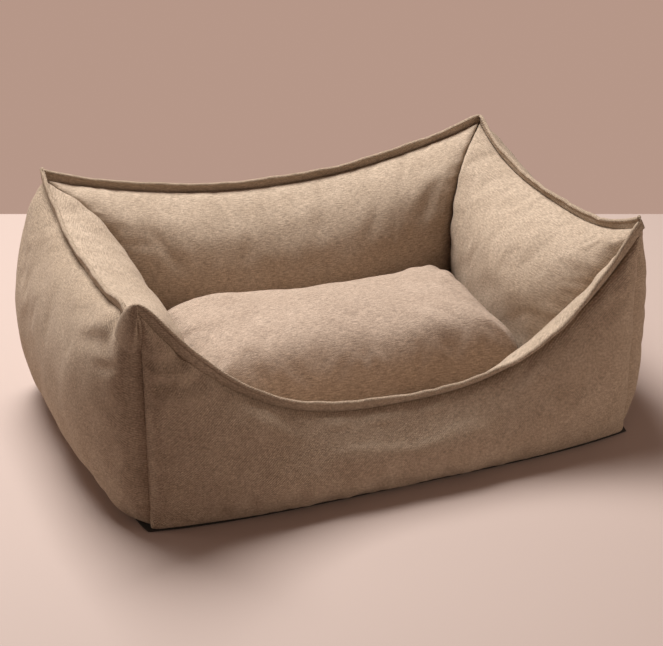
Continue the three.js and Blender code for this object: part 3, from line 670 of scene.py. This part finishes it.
stitch_paths = []
for seed, name in enumerate(walls):
    s = np.sin(np.linspace(-1, 1, edge_stations) * 1.3) / np.sin(1.3)
    base, up, side = edge_frames(name, s)
    sideways, dips = edge_wave(name, s, 90 + seed)
    length = edge_length(name, s)
    outline = [*edge_profile, (edge_width, 0.0), *((h, -w) for h, w in reversed(edge_profile))]
    rings = []
    for height, half in outline:
        share = max(height, 0) / edge_width
        rise = height * length - dips * share
        across = half * (0.35 + 0.65 * length) + sideways * share
        rings.append(base + up * rise[:, None] + side * across[:, None])
    grid = np.stack(rings, axis=1)
    along = np.concatenate([[0], np.cumsum(np.linalg.norm(np.diff(base, axis=0), axis=1))])
    steps = [np.hypot(a[0] - b[0], a[1] - b[1]) for a, b in zip(outline, outline[1:])]
    around = np.concatenate([[0], np.cumsum(steps)])
    cloth_map = np.stack(np.broadcast_arrays(along[:, None], around[None, :]), axis=-1)
    edge = cloth_object(f"{name}_flange_cloth", grid, cloth_map, outward(name))
    count = len(outline)
    last = (edge_stations - 1) * count
    mesh = edge.data
    mesh.materials.append(cover_cloth)
    closing = [(i * count, i * count + count - 1, (i + 1) * count + count - 1, (i + 1) * count)
               for i in range(edge_stations - 1)]
    caps = [tuple(range(count)), tuple(last + k for k in reversed(range(count)))]
    points = [tuple(vertex.co) for vertex in mesh.vertices]
    quads = [tuple(face.vertices) for face in mesh.polygons]
    whole = bpy.data.meshes.new(f"{name}_flange_cloth")
    whole.from_pydata(points, [], quads + closing + caps)
    layer = whole.uv_layers.new(name="cloth")
    flat_map = cloth_map.reshape(-1, 2)
    for loop in whole.loops:
        layer.data[loop.index].uv = flat_map[loop.vertex_index]
    whole.materials.append(cover_cloth)
    whole.polygons.foreach_set("use_smooth", [True] * len(whole.polygons))
    edge.data = whole
    bpy.context.view_layer.objects.active = edge
    edge.select_set(True)
    bpy.ops.object.mode_set(mode="EDIT")
    bpy.ops.mesh.select_all(action="SELECT")
    bpy.ops.mesh.normals_make_consistent(inside=False)
    bpy.ops.object.mode_set(mode="OBJECT")
    edge.select_set(False)
    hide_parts(f"{name}_flange")
    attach(edge, "bed")
    sewn_part = length > 0.95
    share = stitch_height / edge_width
    for turn in (-1, 1):
        path = (base + up * (stitch_height - dips * share)[:, None]
                + side * (turn * stitch_half_gap + sideways * share)[:, None])
        stitch_paths.append(path[sewn_part])

# ---------------------------------------------------------------- stitching
# Lock stitches in matching thread, 2.7 mm apart, on both sides of the sewn edges, and in two short rows beside
# the front panel's left corner seam. Each stitch is one short bar drawn into the cloth.
stitch_pitch, stitch_length, thread_radius = 0.0027, 0.0021, 0.00034
thread_finish, tree = new_material("matching_thread")
twist = add_node(tree, "ShaderNodeTexNoise", Vector=place_in(tree), Scale=900, Detail=1)
finish_material(tree, Base_Color=graded_colour(tree, twist.outputs[0], (0.34, 0.245, 0.165),
                                               (0.50, 0.38, 0.27)),
                Roughness=0.7, Specular_IOR_Level=0.35)


def tree_inputs(tree, **sizes):
    """Names the sizes of a node tree, and gives its input node."""
    tree.interface.new_socket("Geometry", in_out="INPUT", socket_type="NodeSocketGeometry")
    for name, kind in sizes.items():
        tree.interface.new_socket(name.replace("_", " "), in_out="INPUT", socket_type=f"NodeSocket{kind}")
    tree.interface.new_socket("Geometry", in_out="OUTPUT", socket_type="NodeSocketGeometry")
    return tree.nodes.new("NodeGroupInput")


def end_tree(tree, instances, given):
    """Ends a node tree with real, smooth geometry in its own material."""
    whole = add_node(tree, "GeometryNodeRealizeInstances", Geometry=instances)
    smooth = add_node(tree, "GeometryNodeSetShadeSmooth", Geometry=whole.outputs[0])
    finished = add_node(tree, "GeometryNodeSetMaterial", Geometry=smooth.outputs[0],
                        Material=given.outputs["Finish"])
    add_node(tree, "NodeGroupOutput", Geometry=finished.outputs[0])
    return tree


def bars_on_path():
    """Short round bars along every path: how far apart they lie, how long, wide and high each is."""
    tree = bpy.data.node_groups.new("bars_on_path", "GeometryNodeTree")
    given = tree_inputs(tree, Pitch="Float", Size="Vector", Finish="Material")
    points = add_node(tree, "GeometryNodeCurveToPoints", {"mode": "LENGTH"}, Curve=given.outputs["Geometry"],
                      Length=given.outputs["Pitch"])
    ball = add_node(tree, "GeometryNodeMeshUVSphere", Segments=6, Rings=4, Radius=1.0)
    bar = add_node(tree, "GeometryNodeTransform", Geometry=ball.outputs["Mesh"], Scale=given.outputs["Size"])
    placed = add_node(tree, "GeometryNodeInstanceOnPoints", Points=points.outputs["Points"],
                      Instance=bar.outputs[0], Rotation=points.outputs["Rotation"])
    return end_tree(tree, placed.outputs[0], given)


def grown_from(name, source, tree, **sizes):
    """Runs a node tree on an object and keeps the result as a plain mesh object."""
    grower = source.modifiers.new("grower", "NODES")
    grower.node_group = tree
    for item in tree.interface.items_tree:
        if item.in_out == "INPUT" and item.name.replace(" ", "_") in sizes:
            grower[item.identifier] = sizes[item.name.replace(" ", "_")]
    bpy.context.view_layer.update()
    mesh = bpy.data.meshes.new_from_object(source.evaluated_get(bpy.context.evaluated_depsgraph_get()))
    mesh.name = name
    bpy.data.objects.remove(source)
    piece = bpy.data.objects.new(name, mesh)
    scene.collection.objects.link(piece)
    return piece


def path_curve(paths):
    curve = bpy.data.curves.new("path", "CURVE")
    curve.dimensions = "3D"
    for path in paths:
        spline = curve.splines.new("POLY")
        spline.points.add(len(path) - 1)
        spline.points.foreach_set("co", np.column_stack((path, np.ones(len(path)))).ravel())
    source = bpy.data.objects.new("path", curve)
    scene.collection.objects.link(source)
    return source


bar_tree = bars_on_path()
corner_seam_x = -0.3818
spots = front_grid.reshape(-1, 3)
for offset in (0.0030, 0.0062):  # two short rows on the front panel, beside its left corner seam
    row = []
    for height in np.linspace(0.300, 0.331, 12):
        apart = np.hypot(spots[:, 0] - corner_seam_x - offset, spots[:, 2] - height)
        nearest = np.argsort(apart)[:4]
        share = 1 / (apart[nearest] + 1e-6)
        row.append((corner_seam_x + offset, (spots[nearest, 1] * share).sum() / share.sum() - 0.0003, height))
    stitch_paths.append(np.array(row))
stitches = grown_from("edge_stitching", path_curve(stitch_paths), bar_tree, Pitch=stitch_pitch,
                      Size=(thread_radius, thread_radius, stitch_length / 2), Finish=thread_finish)
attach(stitches, "bed")

# ---------------------------------------------------------------- the front left fold
# Where the left wall's sewn edge ends, the cover is folded over and pulled down, which leaves a soft knuckle
# of cloth at the corner.
fold_sections = [  # place along the wall, middle across and up, half width, half height
    (-0.2628, -0.3800, 0.3240, 0.0030, 0.0190),
    (-0.2615, -0.3800, 0.3170, 0.0075, 0.0290),
    (-0.2570, -0.3810, 0.3100, 0.0110, 0.0370),
    (-0.2480, -0.3830, 0.3010, 0.0145, 0.0410),
    (-0.2380, -0.3850, 0.2920, 0.0162, 0.0400),
    (-0.2280, -0.3877, 0.2830, 0.0150, 0.0340),
    (-0.2200, -0.3900, 0.2770, 0.0120, 0.0250),
    (-0.2150, -0.3920, 0.2700, 0.0060, 0.0120),
]
fold_spokes = 24


def lofted(name, rings):
    """A closed solid through rings of points, with a fan at each end."""
    count, size = rings.shape[:2]
    points = [*rings.reshape(-1, 3).tolist(), rings[0].mean(0).tolist(), rings[-1].mean(0).tolist()]
    faces = []
    for i in range(count - 1):
        for k in range(size):
            n = (k + 1) % size
            faces.append((i * size + k, i * size + n, (i + 1) * size + n, (i + 1) * size + k))
    last = (count - 1) * size
    faces += [(count * size, (k + 1) % size, k) for k in range(size)]
    faces += [(count * size + 1, last + k, last + (k + 1) % size) for k in range(size)]
    mesh = bpy.data.meshes.new(name)
    mesh.from_pydata(points, [], faces)
    solid = bmesh.new()
    solid.from_mesh(mesh)
    bmesh.ops.recalc_face_normals(solid, faces=solid.faces)
    solid.to_mesh(mesh)
    solid.free()
    mesh.polygons.foreach_set("use_smooth", [True] * len(mesh.polygons))
    piece = bpy.data.objects.new(name, mesh)
    scene.collection.objects.link(piece)
    return piece


def finer(piece, levels=1):
    smooth = piece.modifiers.new("finer", "SUBSURF")
    smooth.levels = smooth.render_levels = levels


def map_from_place(piece, across_axis, up_axis):
    """Lays the cloth's map flat against the wall."""
    layer = piece.data.uv_layers.new(name="cloth")
    for loop in piece.data.loops:
        spot = piece.data.vertices[loop.vertex_index].co
        layer.data[loop.index].uv = (spot[across_axis], spot[up_axis])


angles = np.linspace(0, 2 * pi, fold_spokes, endpoint=False)
fold_rings = np.array([
    np.stack([x + half * np.cos(angles), np.full(fold_spokes, y) + 0.002 * np.sin(3 * angles),
              z + high * np.sign(np.sin(angles)) * np.abs(np.sin(angles)) ** 0.9], axis=-1)
    for y, x, z, half, high in fold_sections
])
fold = lofted("front_left_fold", fold_rings)
map_from_place(fold, 1, 2)
fold.data.materials.append(cover_cloth)
finer(fold, 2)
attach(fold, "bed")

# ---------------------------------------------------------------- wall fills
# Hollow-fibre wadding, blown loose into each wall. It is lumpy where it meets the cloth.
wadding, tree = new_material("fibre_wadding")
tufts = add_node(tree, "ShaderNodeTexNoise", Vector=place_in(tree), Scale=130, Detail=6, Roughness=0.7)
fluff = add_node(tree, "ShaderNodeBump", Strength=0.8, Distance=0.002, Height=tufts.outputs[0])
finish_material(tree, Base_Color=graded_colour(tree, tufts.outputs[0], (0.70, 0.69, 0.65),
                                               (0.90, 0.89, 0.86)),
                Roughness=1.0, Specular_IOR_Level=0.1, Subsurface_Weight=0.1, Normal=fluff.outputs[0])
fill_share, fill_stations, fill_rows = 0.83, 40, 15
for seed, name in enumerate(walls):
    rings = []
    for s in np.sin(np.linspace(-1, 1, fill_stations) * 1.25):
        outer, _ = even_rows(outer_face, name, s, 0.0, 0.97, fill_rows)
        inner, _ = even_rows(inner_face, name, s, 0.0, 0.97, fill_rows)
        rings.append(np.concatenate([outer, inner[::-1]]))
    rings = np.array(rings)
    middle = rings.mean(axis=1, keepdims=True)
    lumps = soft_wave(rings, 110 + seed, 0.035, 0.012)[..., None]
    rings = middle + (rings - middle) * (fill_share + lumps)
    low, high = rings[..., 2].min(axis=1, keepdims=True), rings[..., 2].max(axis=1, keepdims=True)
    foot = outer_foot + 0.0005
    rings[..., 2] = foot + (rings[..., 2] - low) * (high - foot) / (high - low)
    fill = lofted(f"{name}_bolster_fill_wadding", rings)
    fill.data.materials.append(wadding)
    finer(fill)
    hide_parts(f"{name}_bolster_fill")
    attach(fill, "bed")

# ---------------------------------------------------------------- base cloth
# A dark non-slip cloth under the whole bed, with rows of small rubber dots on its underside.
base_low, base_high = 0.0009, 0.0022
dot_radius, dot_spacing = 0.0022, 0.020
base_finish, tree = new_material("nonslip_cloth")
warp_lines = add_waves(tree, "X", 210, 0.4)
weft_lines = add_waves(tree, "Y", 210, 0.4)
crossed = add_node(tree, "ShaderNodeMath", {"operation": "MAXIMUM"}, _0=warp_lines.outputs["Fac"],
                   _1=weft_lines.outputs["Fac"])
base_bump = add_node(tree, "ShaderNodeBump", Strength=0.5, Distance=0.0004, Height=crossed.outputs[0])
finish_material(tree, Base_Color=graded_colour(tree, crossed.outputs[0], (0.022, 0.018, 0.015),
                                               (0.045, 0.038, 0.032)),
                Roughness=0.85, Specular_IOR_Level=0.3, Normal=base_bump.outputs[0])
foot_line = []
for name, forwards in (("front", True), ("right", True), ("back", False), ("left", False)):
    line = outer_face(name, np.linspace(-1, 1, 60) * (1 if forwards else -1), np.zeros(60))
    foot_line.append(line[:-1])
foot_line = np.concatenate(foot_line)
levels = ((base_low, 0.0010), (base_low + 0.0003, 0.0), (base_high - 0.0003, 0.0), (base_high, 0.0010))
base_rings = np.array([
    np.column_stack([foot_line[:, :2] * (1 - (0.0012 + inset) / 0.45), np.full(len(foot_line), z)])
    for z, inset in levels
])
base = lofted("base_cloth_sheet", base_rings)
base.data.materials.append(base_finish)
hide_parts("base_cloth")
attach(base, "bed")

rubber, tree = new_material("rubber_dots")
scuff = add_node(tree, "ShaderNodeTexNoise", Vector=place_in(tree), Scale=300, Detail=2)
finish_material(tree, Base_Color=graded_colour(tree, scuff.outputs[0], (0.018, 0.017, 0.016),
                                               (0.04, 0.038, 0.036)),
                Roughness=0.6)


def dots_in_rows():
    """Low domes on a grid: the grid's size, how many there are each way, and each dome's size."""
    tree = bpy.data.node_groups.new("dots_in_rows", "GeometryNodeTree")
    given = tree_inputs(tree, Length="Float", Depth="Float", Columns="Int", Rows="Int", Dome="Vector",
                        Height="Vector", Finish="Material")
    spots = add_node(tree, "GeometryNodeMeshGrid", Size_X=given.outputs["Length"],
                     Size_Y=given.outputs["Depth"], Vertices_X=given.outputs["Columns"],
                     Vertices_Y=given.outputs["Rows"])
    lowered = add_node(tree, "GeometryNodeTransform", Geometry=spots.outputs["Mesh"],
                       Translation=given.outputs["Height"])
    ball = add_node(tree, "GeometryNodeMeshUVSphere", Segments=8, Rings=4, Radius=1.0)
    dome = add_node(tree, "GeometryNodeTransform", Geometry=ball.outputs["Mesh"], Scale=given.outputs["Dome"])
    placed = add_node(tree, "GeometryNodeInstanceOnPoints", Points=lowered.outputs[0], Instance=dome.outputs[0])
    return end_tree(tree, placed.outputs[0], given)


dot_columns, dot_rows = 37, 25
dot_sheet = bpy.data.objects.new("dots", bpy.data.meshes.new("dots"))
scene.collection.objects.link(dot_sheet)
dots = grown_from("base_rubber_dots", dot_sheet, dots_in_rows(), Length=(dot_columns - 1) * dot_spacing,
                  Depth=(dot_rows - 1) * dot_spacing, Columns=dot_columns, Rows=dot_rows,
                  Dome=(dot_radius, dot_radius, base_low), Height=(0.0, 0.0, base_low + 0.0001), Finish=rubber)
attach(dots, "bed")

# ---------------------------------------------------------------- sleeping floor
# A sheet of foam on the base cloth, and over it the lining that the inner panels are sewn to.
foam, tree = new_material("cream_foam")
cells = add_node(tree, "ShaderNodeTexVoronoi", Vector=place_in(tree), Scale=700)
cell_bump = add_node(tree, "ShaderNodeBump", Strength=0.5, Distance=0.0005, Height=cells.outputs["Distance"])
finish_material(tree, Base_Color=graded_colour(tree, cells.outputs["Distance"], (0.55, 0.50, 0.38),
                                               (0.80, 0.75, 0.62)),
                Roughness=0.95, Normal=cell_bump.outputs[0])
well_half = (0.2662, 0.1472)


def floor_slab(name, low, high, grow, edge, wave, seed):
    """A slab with rounded corners and soft edges, a little uneven on top."""
    half_x, half_y = well_half[0] + grow, well_half[1] + grow
    turn = np.linspace(0, 2 * pi, 160, endpoint=False) + pi / 160
    reach = (np.abs(np.cos(turn)) ** 14 + np.abs(np.sin(turn)) ** 14) ** (-1 / 14)
    outline = np.column_stack([reach * np.cos(turn), reach * np.sin(turn)])
    rim_share, rim_height = 1 - edge / half_y, min(edge, (high - low) / 2)
    shares = ((0.2, low), (0.6, low), (0.94, low), (rim_share, low), (1.0, low + rim_height),
              (1.0, high - rim_height), (rim_share, high), (0.94, high), (0.8, high), (0.6, high),
              (0.4, high), (0.2, high))
    rings = np.array([
        np.column_stack([outline * share * (half_x, half_y), np.full(len(turn), z)]) for share, z in shares
    ])
    slab = lofted(name, rings)
    rise = soft_wave(rings, seed, 0.11, wave)
    rise[:6] = 0
    for vertex, lift in zip(slab.data.vertices, rise.ravel()):
        vertex.co.z += min(lift, 0)
    return slab


pad = floor_slab("floor_pad_foam", low=0.0027, high=0.0131, grow=0, edge=0.003, wave=0.0008, seed=131)
pad.data.materials.append(foam)
finer(pad)
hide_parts("floor_pad")
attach(pad, "bed")
lining = floor_slab("floor_lining_cloth", low=0.0141, high=0.0157, grow=0.0018, edge=0.0006, wave=0.0, seed=132)
map_from_place(lining, 0, 1)
lining.data.materials.append(lining_cloth)
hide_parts("floor_lining")
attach(lining, "bed")

# ---------------------------------------------------------------- cushion
# A plump loose cushion: two linen panels sewn together round the edge, over a fibre core. Its corners stay
# pointed, its sides pull in between them, and its back seam holds a zip.
cushion_half = (0.2768, 0.1485)
cushion_middle = -0.0093
cushion_pull_in = 0.014
cushion_foot, cushion_back_seam, cushion_front_seam = 0.0162, 0.10005, 0.060
cushion_top = 0.177
cushion_columns, cushion_rows = 112, 64
cushion_cloth_thickness, core_inset = 0.0014, 0.006
top_flatness, underside_flatness, cushion_roundness = 5.6, 6, 0.6
cushion_cloth = weave_cloth("cushion_linen", (0.69, 0.535, 0.42), (0.53, 0.395, 0.30), rib_pitch=0.0022,
                            rib_turn=0.0, rib_depth=0.0003, rib_shade=0.92, slub_depth=0.0009,
                            slubs_per_metre=560, slub_shade=0.76, speck_shade=0.72)
cushion_creases = [
    ((0.262, -0.140, 0.120), (0.215, -0.105, 0.160), 0.0065, 0.0035),
    ((0.250, -0.146, 0.110), (0.180, -0.118, 0.150), 0.0070, 0.0035),
    ((-0.262, -0.140, 0.120), (-0.205, -0.095, 0.165), 0.0075, 0.0045),
    ((-0.262, 0.120, 0.120), (-0.205, 0.080, 0.165), 0.0075, 0.0045),
    ((0.262, 0.120, 0.120), (0.210, 0.085, 0.165), 0.0075, 0.0050),
    ((-0.170, -0.120, 0.150), (-0.080, -0.030, 0.175), 0.0100, 0.0016),
    ((-0.205, -0.090, 0.150), (-0.110, 0.010, 0.175), 0.0090, 0.0014),
    ((0.020, -0.140, 0.130), (0.035, -0.070, 0.170), 0.0110, 0.0022),
    ((0.110, -0.140, 0.130), (0.100, -0.075, 0.170), 0.0120, 0.0018),
    ((-0.060, -0.140, 0.130), (-0.050, -0.080, 0.170), 0.0120, 0.0016),
    ((0.170, -0.135, 0.130), (0.160, -0.060, 0.170), 0.0120, 0.0018),
    ((0.255, -0.030, 0.130), (0.190, -0.020, 0.170), 0.0110, 0.0018),
]


def cushion_grid(upper, inset=0.0):
    a = np.sin(np.linspace(-1, 1, cushion_columns) * 1.25)[:, None] / sin(1.25)
    b = np.sin(np.linspace(-1, 1, cushion_rows) * 1.20)[None, :] / sin(1.20)
    a, b = np.broadcast_arrays(a, b)
    round_corner = 1 - 0.028 * (np.abs(a) * np.abs(b)) ** 5
    x = a * round_corner * (cushion_half[0] - inset - cushion_pull_in * (1 - b * b))
    y = b * round_corner * (cushion_half[1] - inset - cushion_pull_in * (1 - a * a))
    share = np.minimum(1, (np.abs(a) ** 10 + np.abs(b) ** 10) ** 0.1)
    seam = cushion_front_seam + (cushion_back_seam - cushion_front_seam) * np.clip((b + 1) / 1.2, 0, 1)
    flatness = top_flatness + 5 * np.maximum(a, 0) if upper else underside_flatness
    rise = np.maximum(0, 1 - share ** flatness) ** cushion_roundness
    fuller = 0.012 * np.maximum(-a, 0) - 0.011 * np.maximum(a, 0)  # it is plumper at its left end
    target = cushion_top - inset + fuller if upper else cushion_foot + inset
    edge = np.minimum(1 - np.abs(a), 1 - np.abs(b)) <= 0
    z = seam + (target - seam) * np.where(edge, 0, rise)
    return np.stack([x, cushion_middle + y, z], axis=-1)


cushion_skins = {}
for seed, (name, upper) in enumerate((("cushion_top_panel", True), ("cushion_bottom_panel", False))):
    facing = np.array([0, 0, 1.0 if upper else -1.0])
    grid = cushion_grid(upper)
    across_cloth = np.concatenate([np.zeros((1, cushion_rows)), np.cumsum(
        np.linalg.norm(np.diff(grid, axis=0), axis=-1), axis=0)])
    up_cloth = np.concatenate([np.zeros((cushion_columns, 1)), np.cumsum(
        np.linalg.norm(np.diff(grid, axis=1), axis=-1), axis=1)], axis=1)
    cloth_map = np.stack([across_cloth, up_cloth], axis=-1)
    panel = cloth_object(f"{name}_cloth", grid, cloth_map, facing)
    sewn = border(cushion_columns, cushion_rows)
    grid = grid + stuffed(panel, (cushion_columns, cushion_rows), sewn, spare=0.03, swell=0.2, limit=0.0020)
    bpy.data.objects.remove(panel)
    from_seam = np.abs(grid[..., 2] - cushion_grid(upper)[:, :1, 2].mean())
    fade = np.clip(from_seam / 0.03, 0, 1)
    uneven = soft_wave(grid, 140 + seed, 0.19, 0.0030) + soft_wave(grid, 150 + seed, 0.07, 0.0010)
    grid = grid + (uneven * fade)[..., None] * facing
    if upper:
        grid = creased(grid, facing, cushion_creases)
    else:
        grid[..., 2] = np.maximum(grid[..., 2], cushion_foot)
    reach_x = cushion_half[0] + 0.003
    grid[..., 0] = np.clip(grid[..., 0], -reach_x, reach_x)
    cushion_skins[name] = grid
    panel = cloth_object(f"{name}_cloth", grid, cloth_map, facing)
    panel.data.materials.append(cushion_cloth)
    thickened(panel, cushion_cloth_thickness)
    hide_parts(name)
    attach(panel, "cushion")


core_top = cushion_grid(True, core_inset)
core_bottom = cushion_grid(False, core_inset)


def rim(grid):
    return np.concatenate([grid[:-1, 0], grid[-1, :-1], grid[:0:-1, -1], grid[0, :0:-1]])


step = 4
core_rings = []
for skin, order in ((core_bottom, -1), (core_top, 1)):
    rings = []
    for k in range(1, cushion_rows // 2 - 2, step):
        ring = rim(skin[k:cushion_columns - k, k:cushion_rows - k])
        steps = np.concatenate([[0], np.cumsum(np.linalg.norm(np.diff(ring[:, :2], axis=0), axis=1))])
        wanted = np.linspace(0, steps[-1], 121)[:-1]
        rings.append(np.stack([np.interp(wanted, steps, ring[:, i]) for i in range(3)], axis=-1))
    core_rings += rings[::-1] if order < 0 else rings
core_rings = np.array(core_rings)
core_rings = core_rings + soft_wave(core_rings, 160, 0.04, 0.0012)[..., None] * np.array([0, 0, 1.0])
core = lofted("cushion_core_wadding", core_rings)
core.data.materials.append(wadding)
finer(core)
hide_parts("cushion_core")
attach(core, "cushion")

# ---------------------------------------------------------------- zips
# Two nylon coil zips with woven tapes: one over the foot seam of the back wall, one along the cushion's back
# seam. Each has a cast slider with a flat pull, and a crimped stop at each end.
tape_finish, tree = new_material("woven_tape")
tape_ribs = add_waves(tree, "Z", 330, 0.3)
tape_picks = add_waves(tree, "X", 420, 0.5)
tape_weave = add_node(tree, "ShaderNodeMath", {"operation": "MULTIPLY"}, _0=tape_ribs.outputs["Fac"],
                      _1=tape_picks.outputs["Fac"])
tape_bump = add_node(tree, "ShaderNodeBump", Strength=0.6, Distance=0.0003, Height=tape_weave.outputs[0])
finish_material(tree, Base_Color=graded_colour(tree, tape_weave.outputs[0], (0.20, 0.145, 0.095),
                                               (0.31, 0.23, 0.155)),
                Roughness=0.85, Sheen_Weight=0.1, Normal=tape_bump.outputs[0])
coil_finish, tree = new_material("nylon_coil")
draw_lines = add_node(tree, "ShaderNodeTexNoise", Vector=place_in(tree), Scale=800, Detail=1)
finish_material(tree, Base_Color=graded_colour(tree, draw_lines.outputs[0], (0.17, 0.12, 0.075),
                                               (0.26, 0.19, 0.12)),
                Roughness=0.35, Specular_IOR_Level=0.5)
metal_finish, tree = new_material("brushed_zip_metal")
long_scratches = add_node(tree, "ShaderNodeMapping", Vector=place_in(tree), Scale=(1, 1, 0.08))
scratches = add_node(tree, "ShaderNodeTexNoise", Vector=long_scratches.outputs[0], Scale=1500, Detail=3)
scratch_bump = add_node(tree, "ShaderNodeBump", Strength=0.25, Distance=0.0001, Height=scratches.outputs[0])
finish_material(tree, Base_Color=graded_colour(tree, scratches.outputs[0], (0.42, 0.38, 0.33),
                                               (0.62, 0.57, 0.50)),
                Metallic=1.0, Roughness=0.32, Normal=scratch_bump.outputs[0])


def node_points(node):
    mesh = bpy.data.objects[node].data
    points = np.empty(len(mesh.vertices) * 3)
    mesh.vertices.foreach_get("co", points)
    return points.reshape(-1, 3)


def softened(node, finish, body, bevel, slimmer=(1, 1, 1)):
    """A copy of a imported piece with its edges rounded, which stands for it. It can be made slimmer."""
    mesh = bpy.data.objects[node].data.copy()
    mesh.name = f"{node}_finished"
    solid = bmesh.new()
    solid.from_mesh(mesh)
    bmesh.ops.remove_doubles(solid, verts=solid.verts, dist=1e-6)
    bmesh.ops.dissolve_limit(solid, angle_limit=radians(1), verts=solid.verts, edges=solid.edges)
    solid.to_mesh(mesh)
    solid.free()
    middle = node_points(node).mean(axis=0)
    for vertex in mesh.vertices:
        vertex.co = Vector(middle + (np.array(vertex.co) - middle) * slimmer)
    mesh.materials.clear()
    mesh.materials.append(finish)
    piece = bpy.data.objects.new(f"{node}_finished", mesh)
    scene.collection.objects.link(piece)
    rounding = piece.modifiers.new("rounding", "BEVEL")
    rounding.width = bevel
    rounding.segments = 2
    rounding.limit_method = "ANGLE"
    rounding.angle_limit = radians(40)
    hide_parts(node)
    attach(piece, body)


stop_share = (0.72, 0.90, 0.82)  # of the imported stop's size
coil_pitch, coil_bar = 0.0016, (0.0010, 0.0012, 0.00072)
for zip_name, body in (("bed_zip", "bed"), ("cushion_zip", "cushion")):
    for half in ("upper", "lower"):
        softened(f"{zip_name}_tape_{half}", tape_finish, body, 0.0003)
        line = node_points(f"{zip_name}_coil_{half}")
        ends = np.linspace(line.min(0), line.max(0), 2)
        ends[:, 1:] = line[:, 1:].mean(0)
        teeth = grown_from(f"{zip_name}_coil_{half}_teeth", path_curve([ends]), bar_tree, Pitch=coil_pitch,
                           Size=coil_bar, Finish=coil_finish)
        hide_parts(f"{zip_name}_coil_{half}")
        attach(teeth, body)
    for end in ("left", "right"):
        softened(f"{zip_name}_stop_{end}", metal_finish, body, 0.0003, stop_share)
    softened(f"{zip_name}_slider", metal_finish, f"{zip_name}_slider", 0.00025)
    softened(f"{zip_name}_pull", metal_finish, f"{zip_name}_pull", 0.00025)
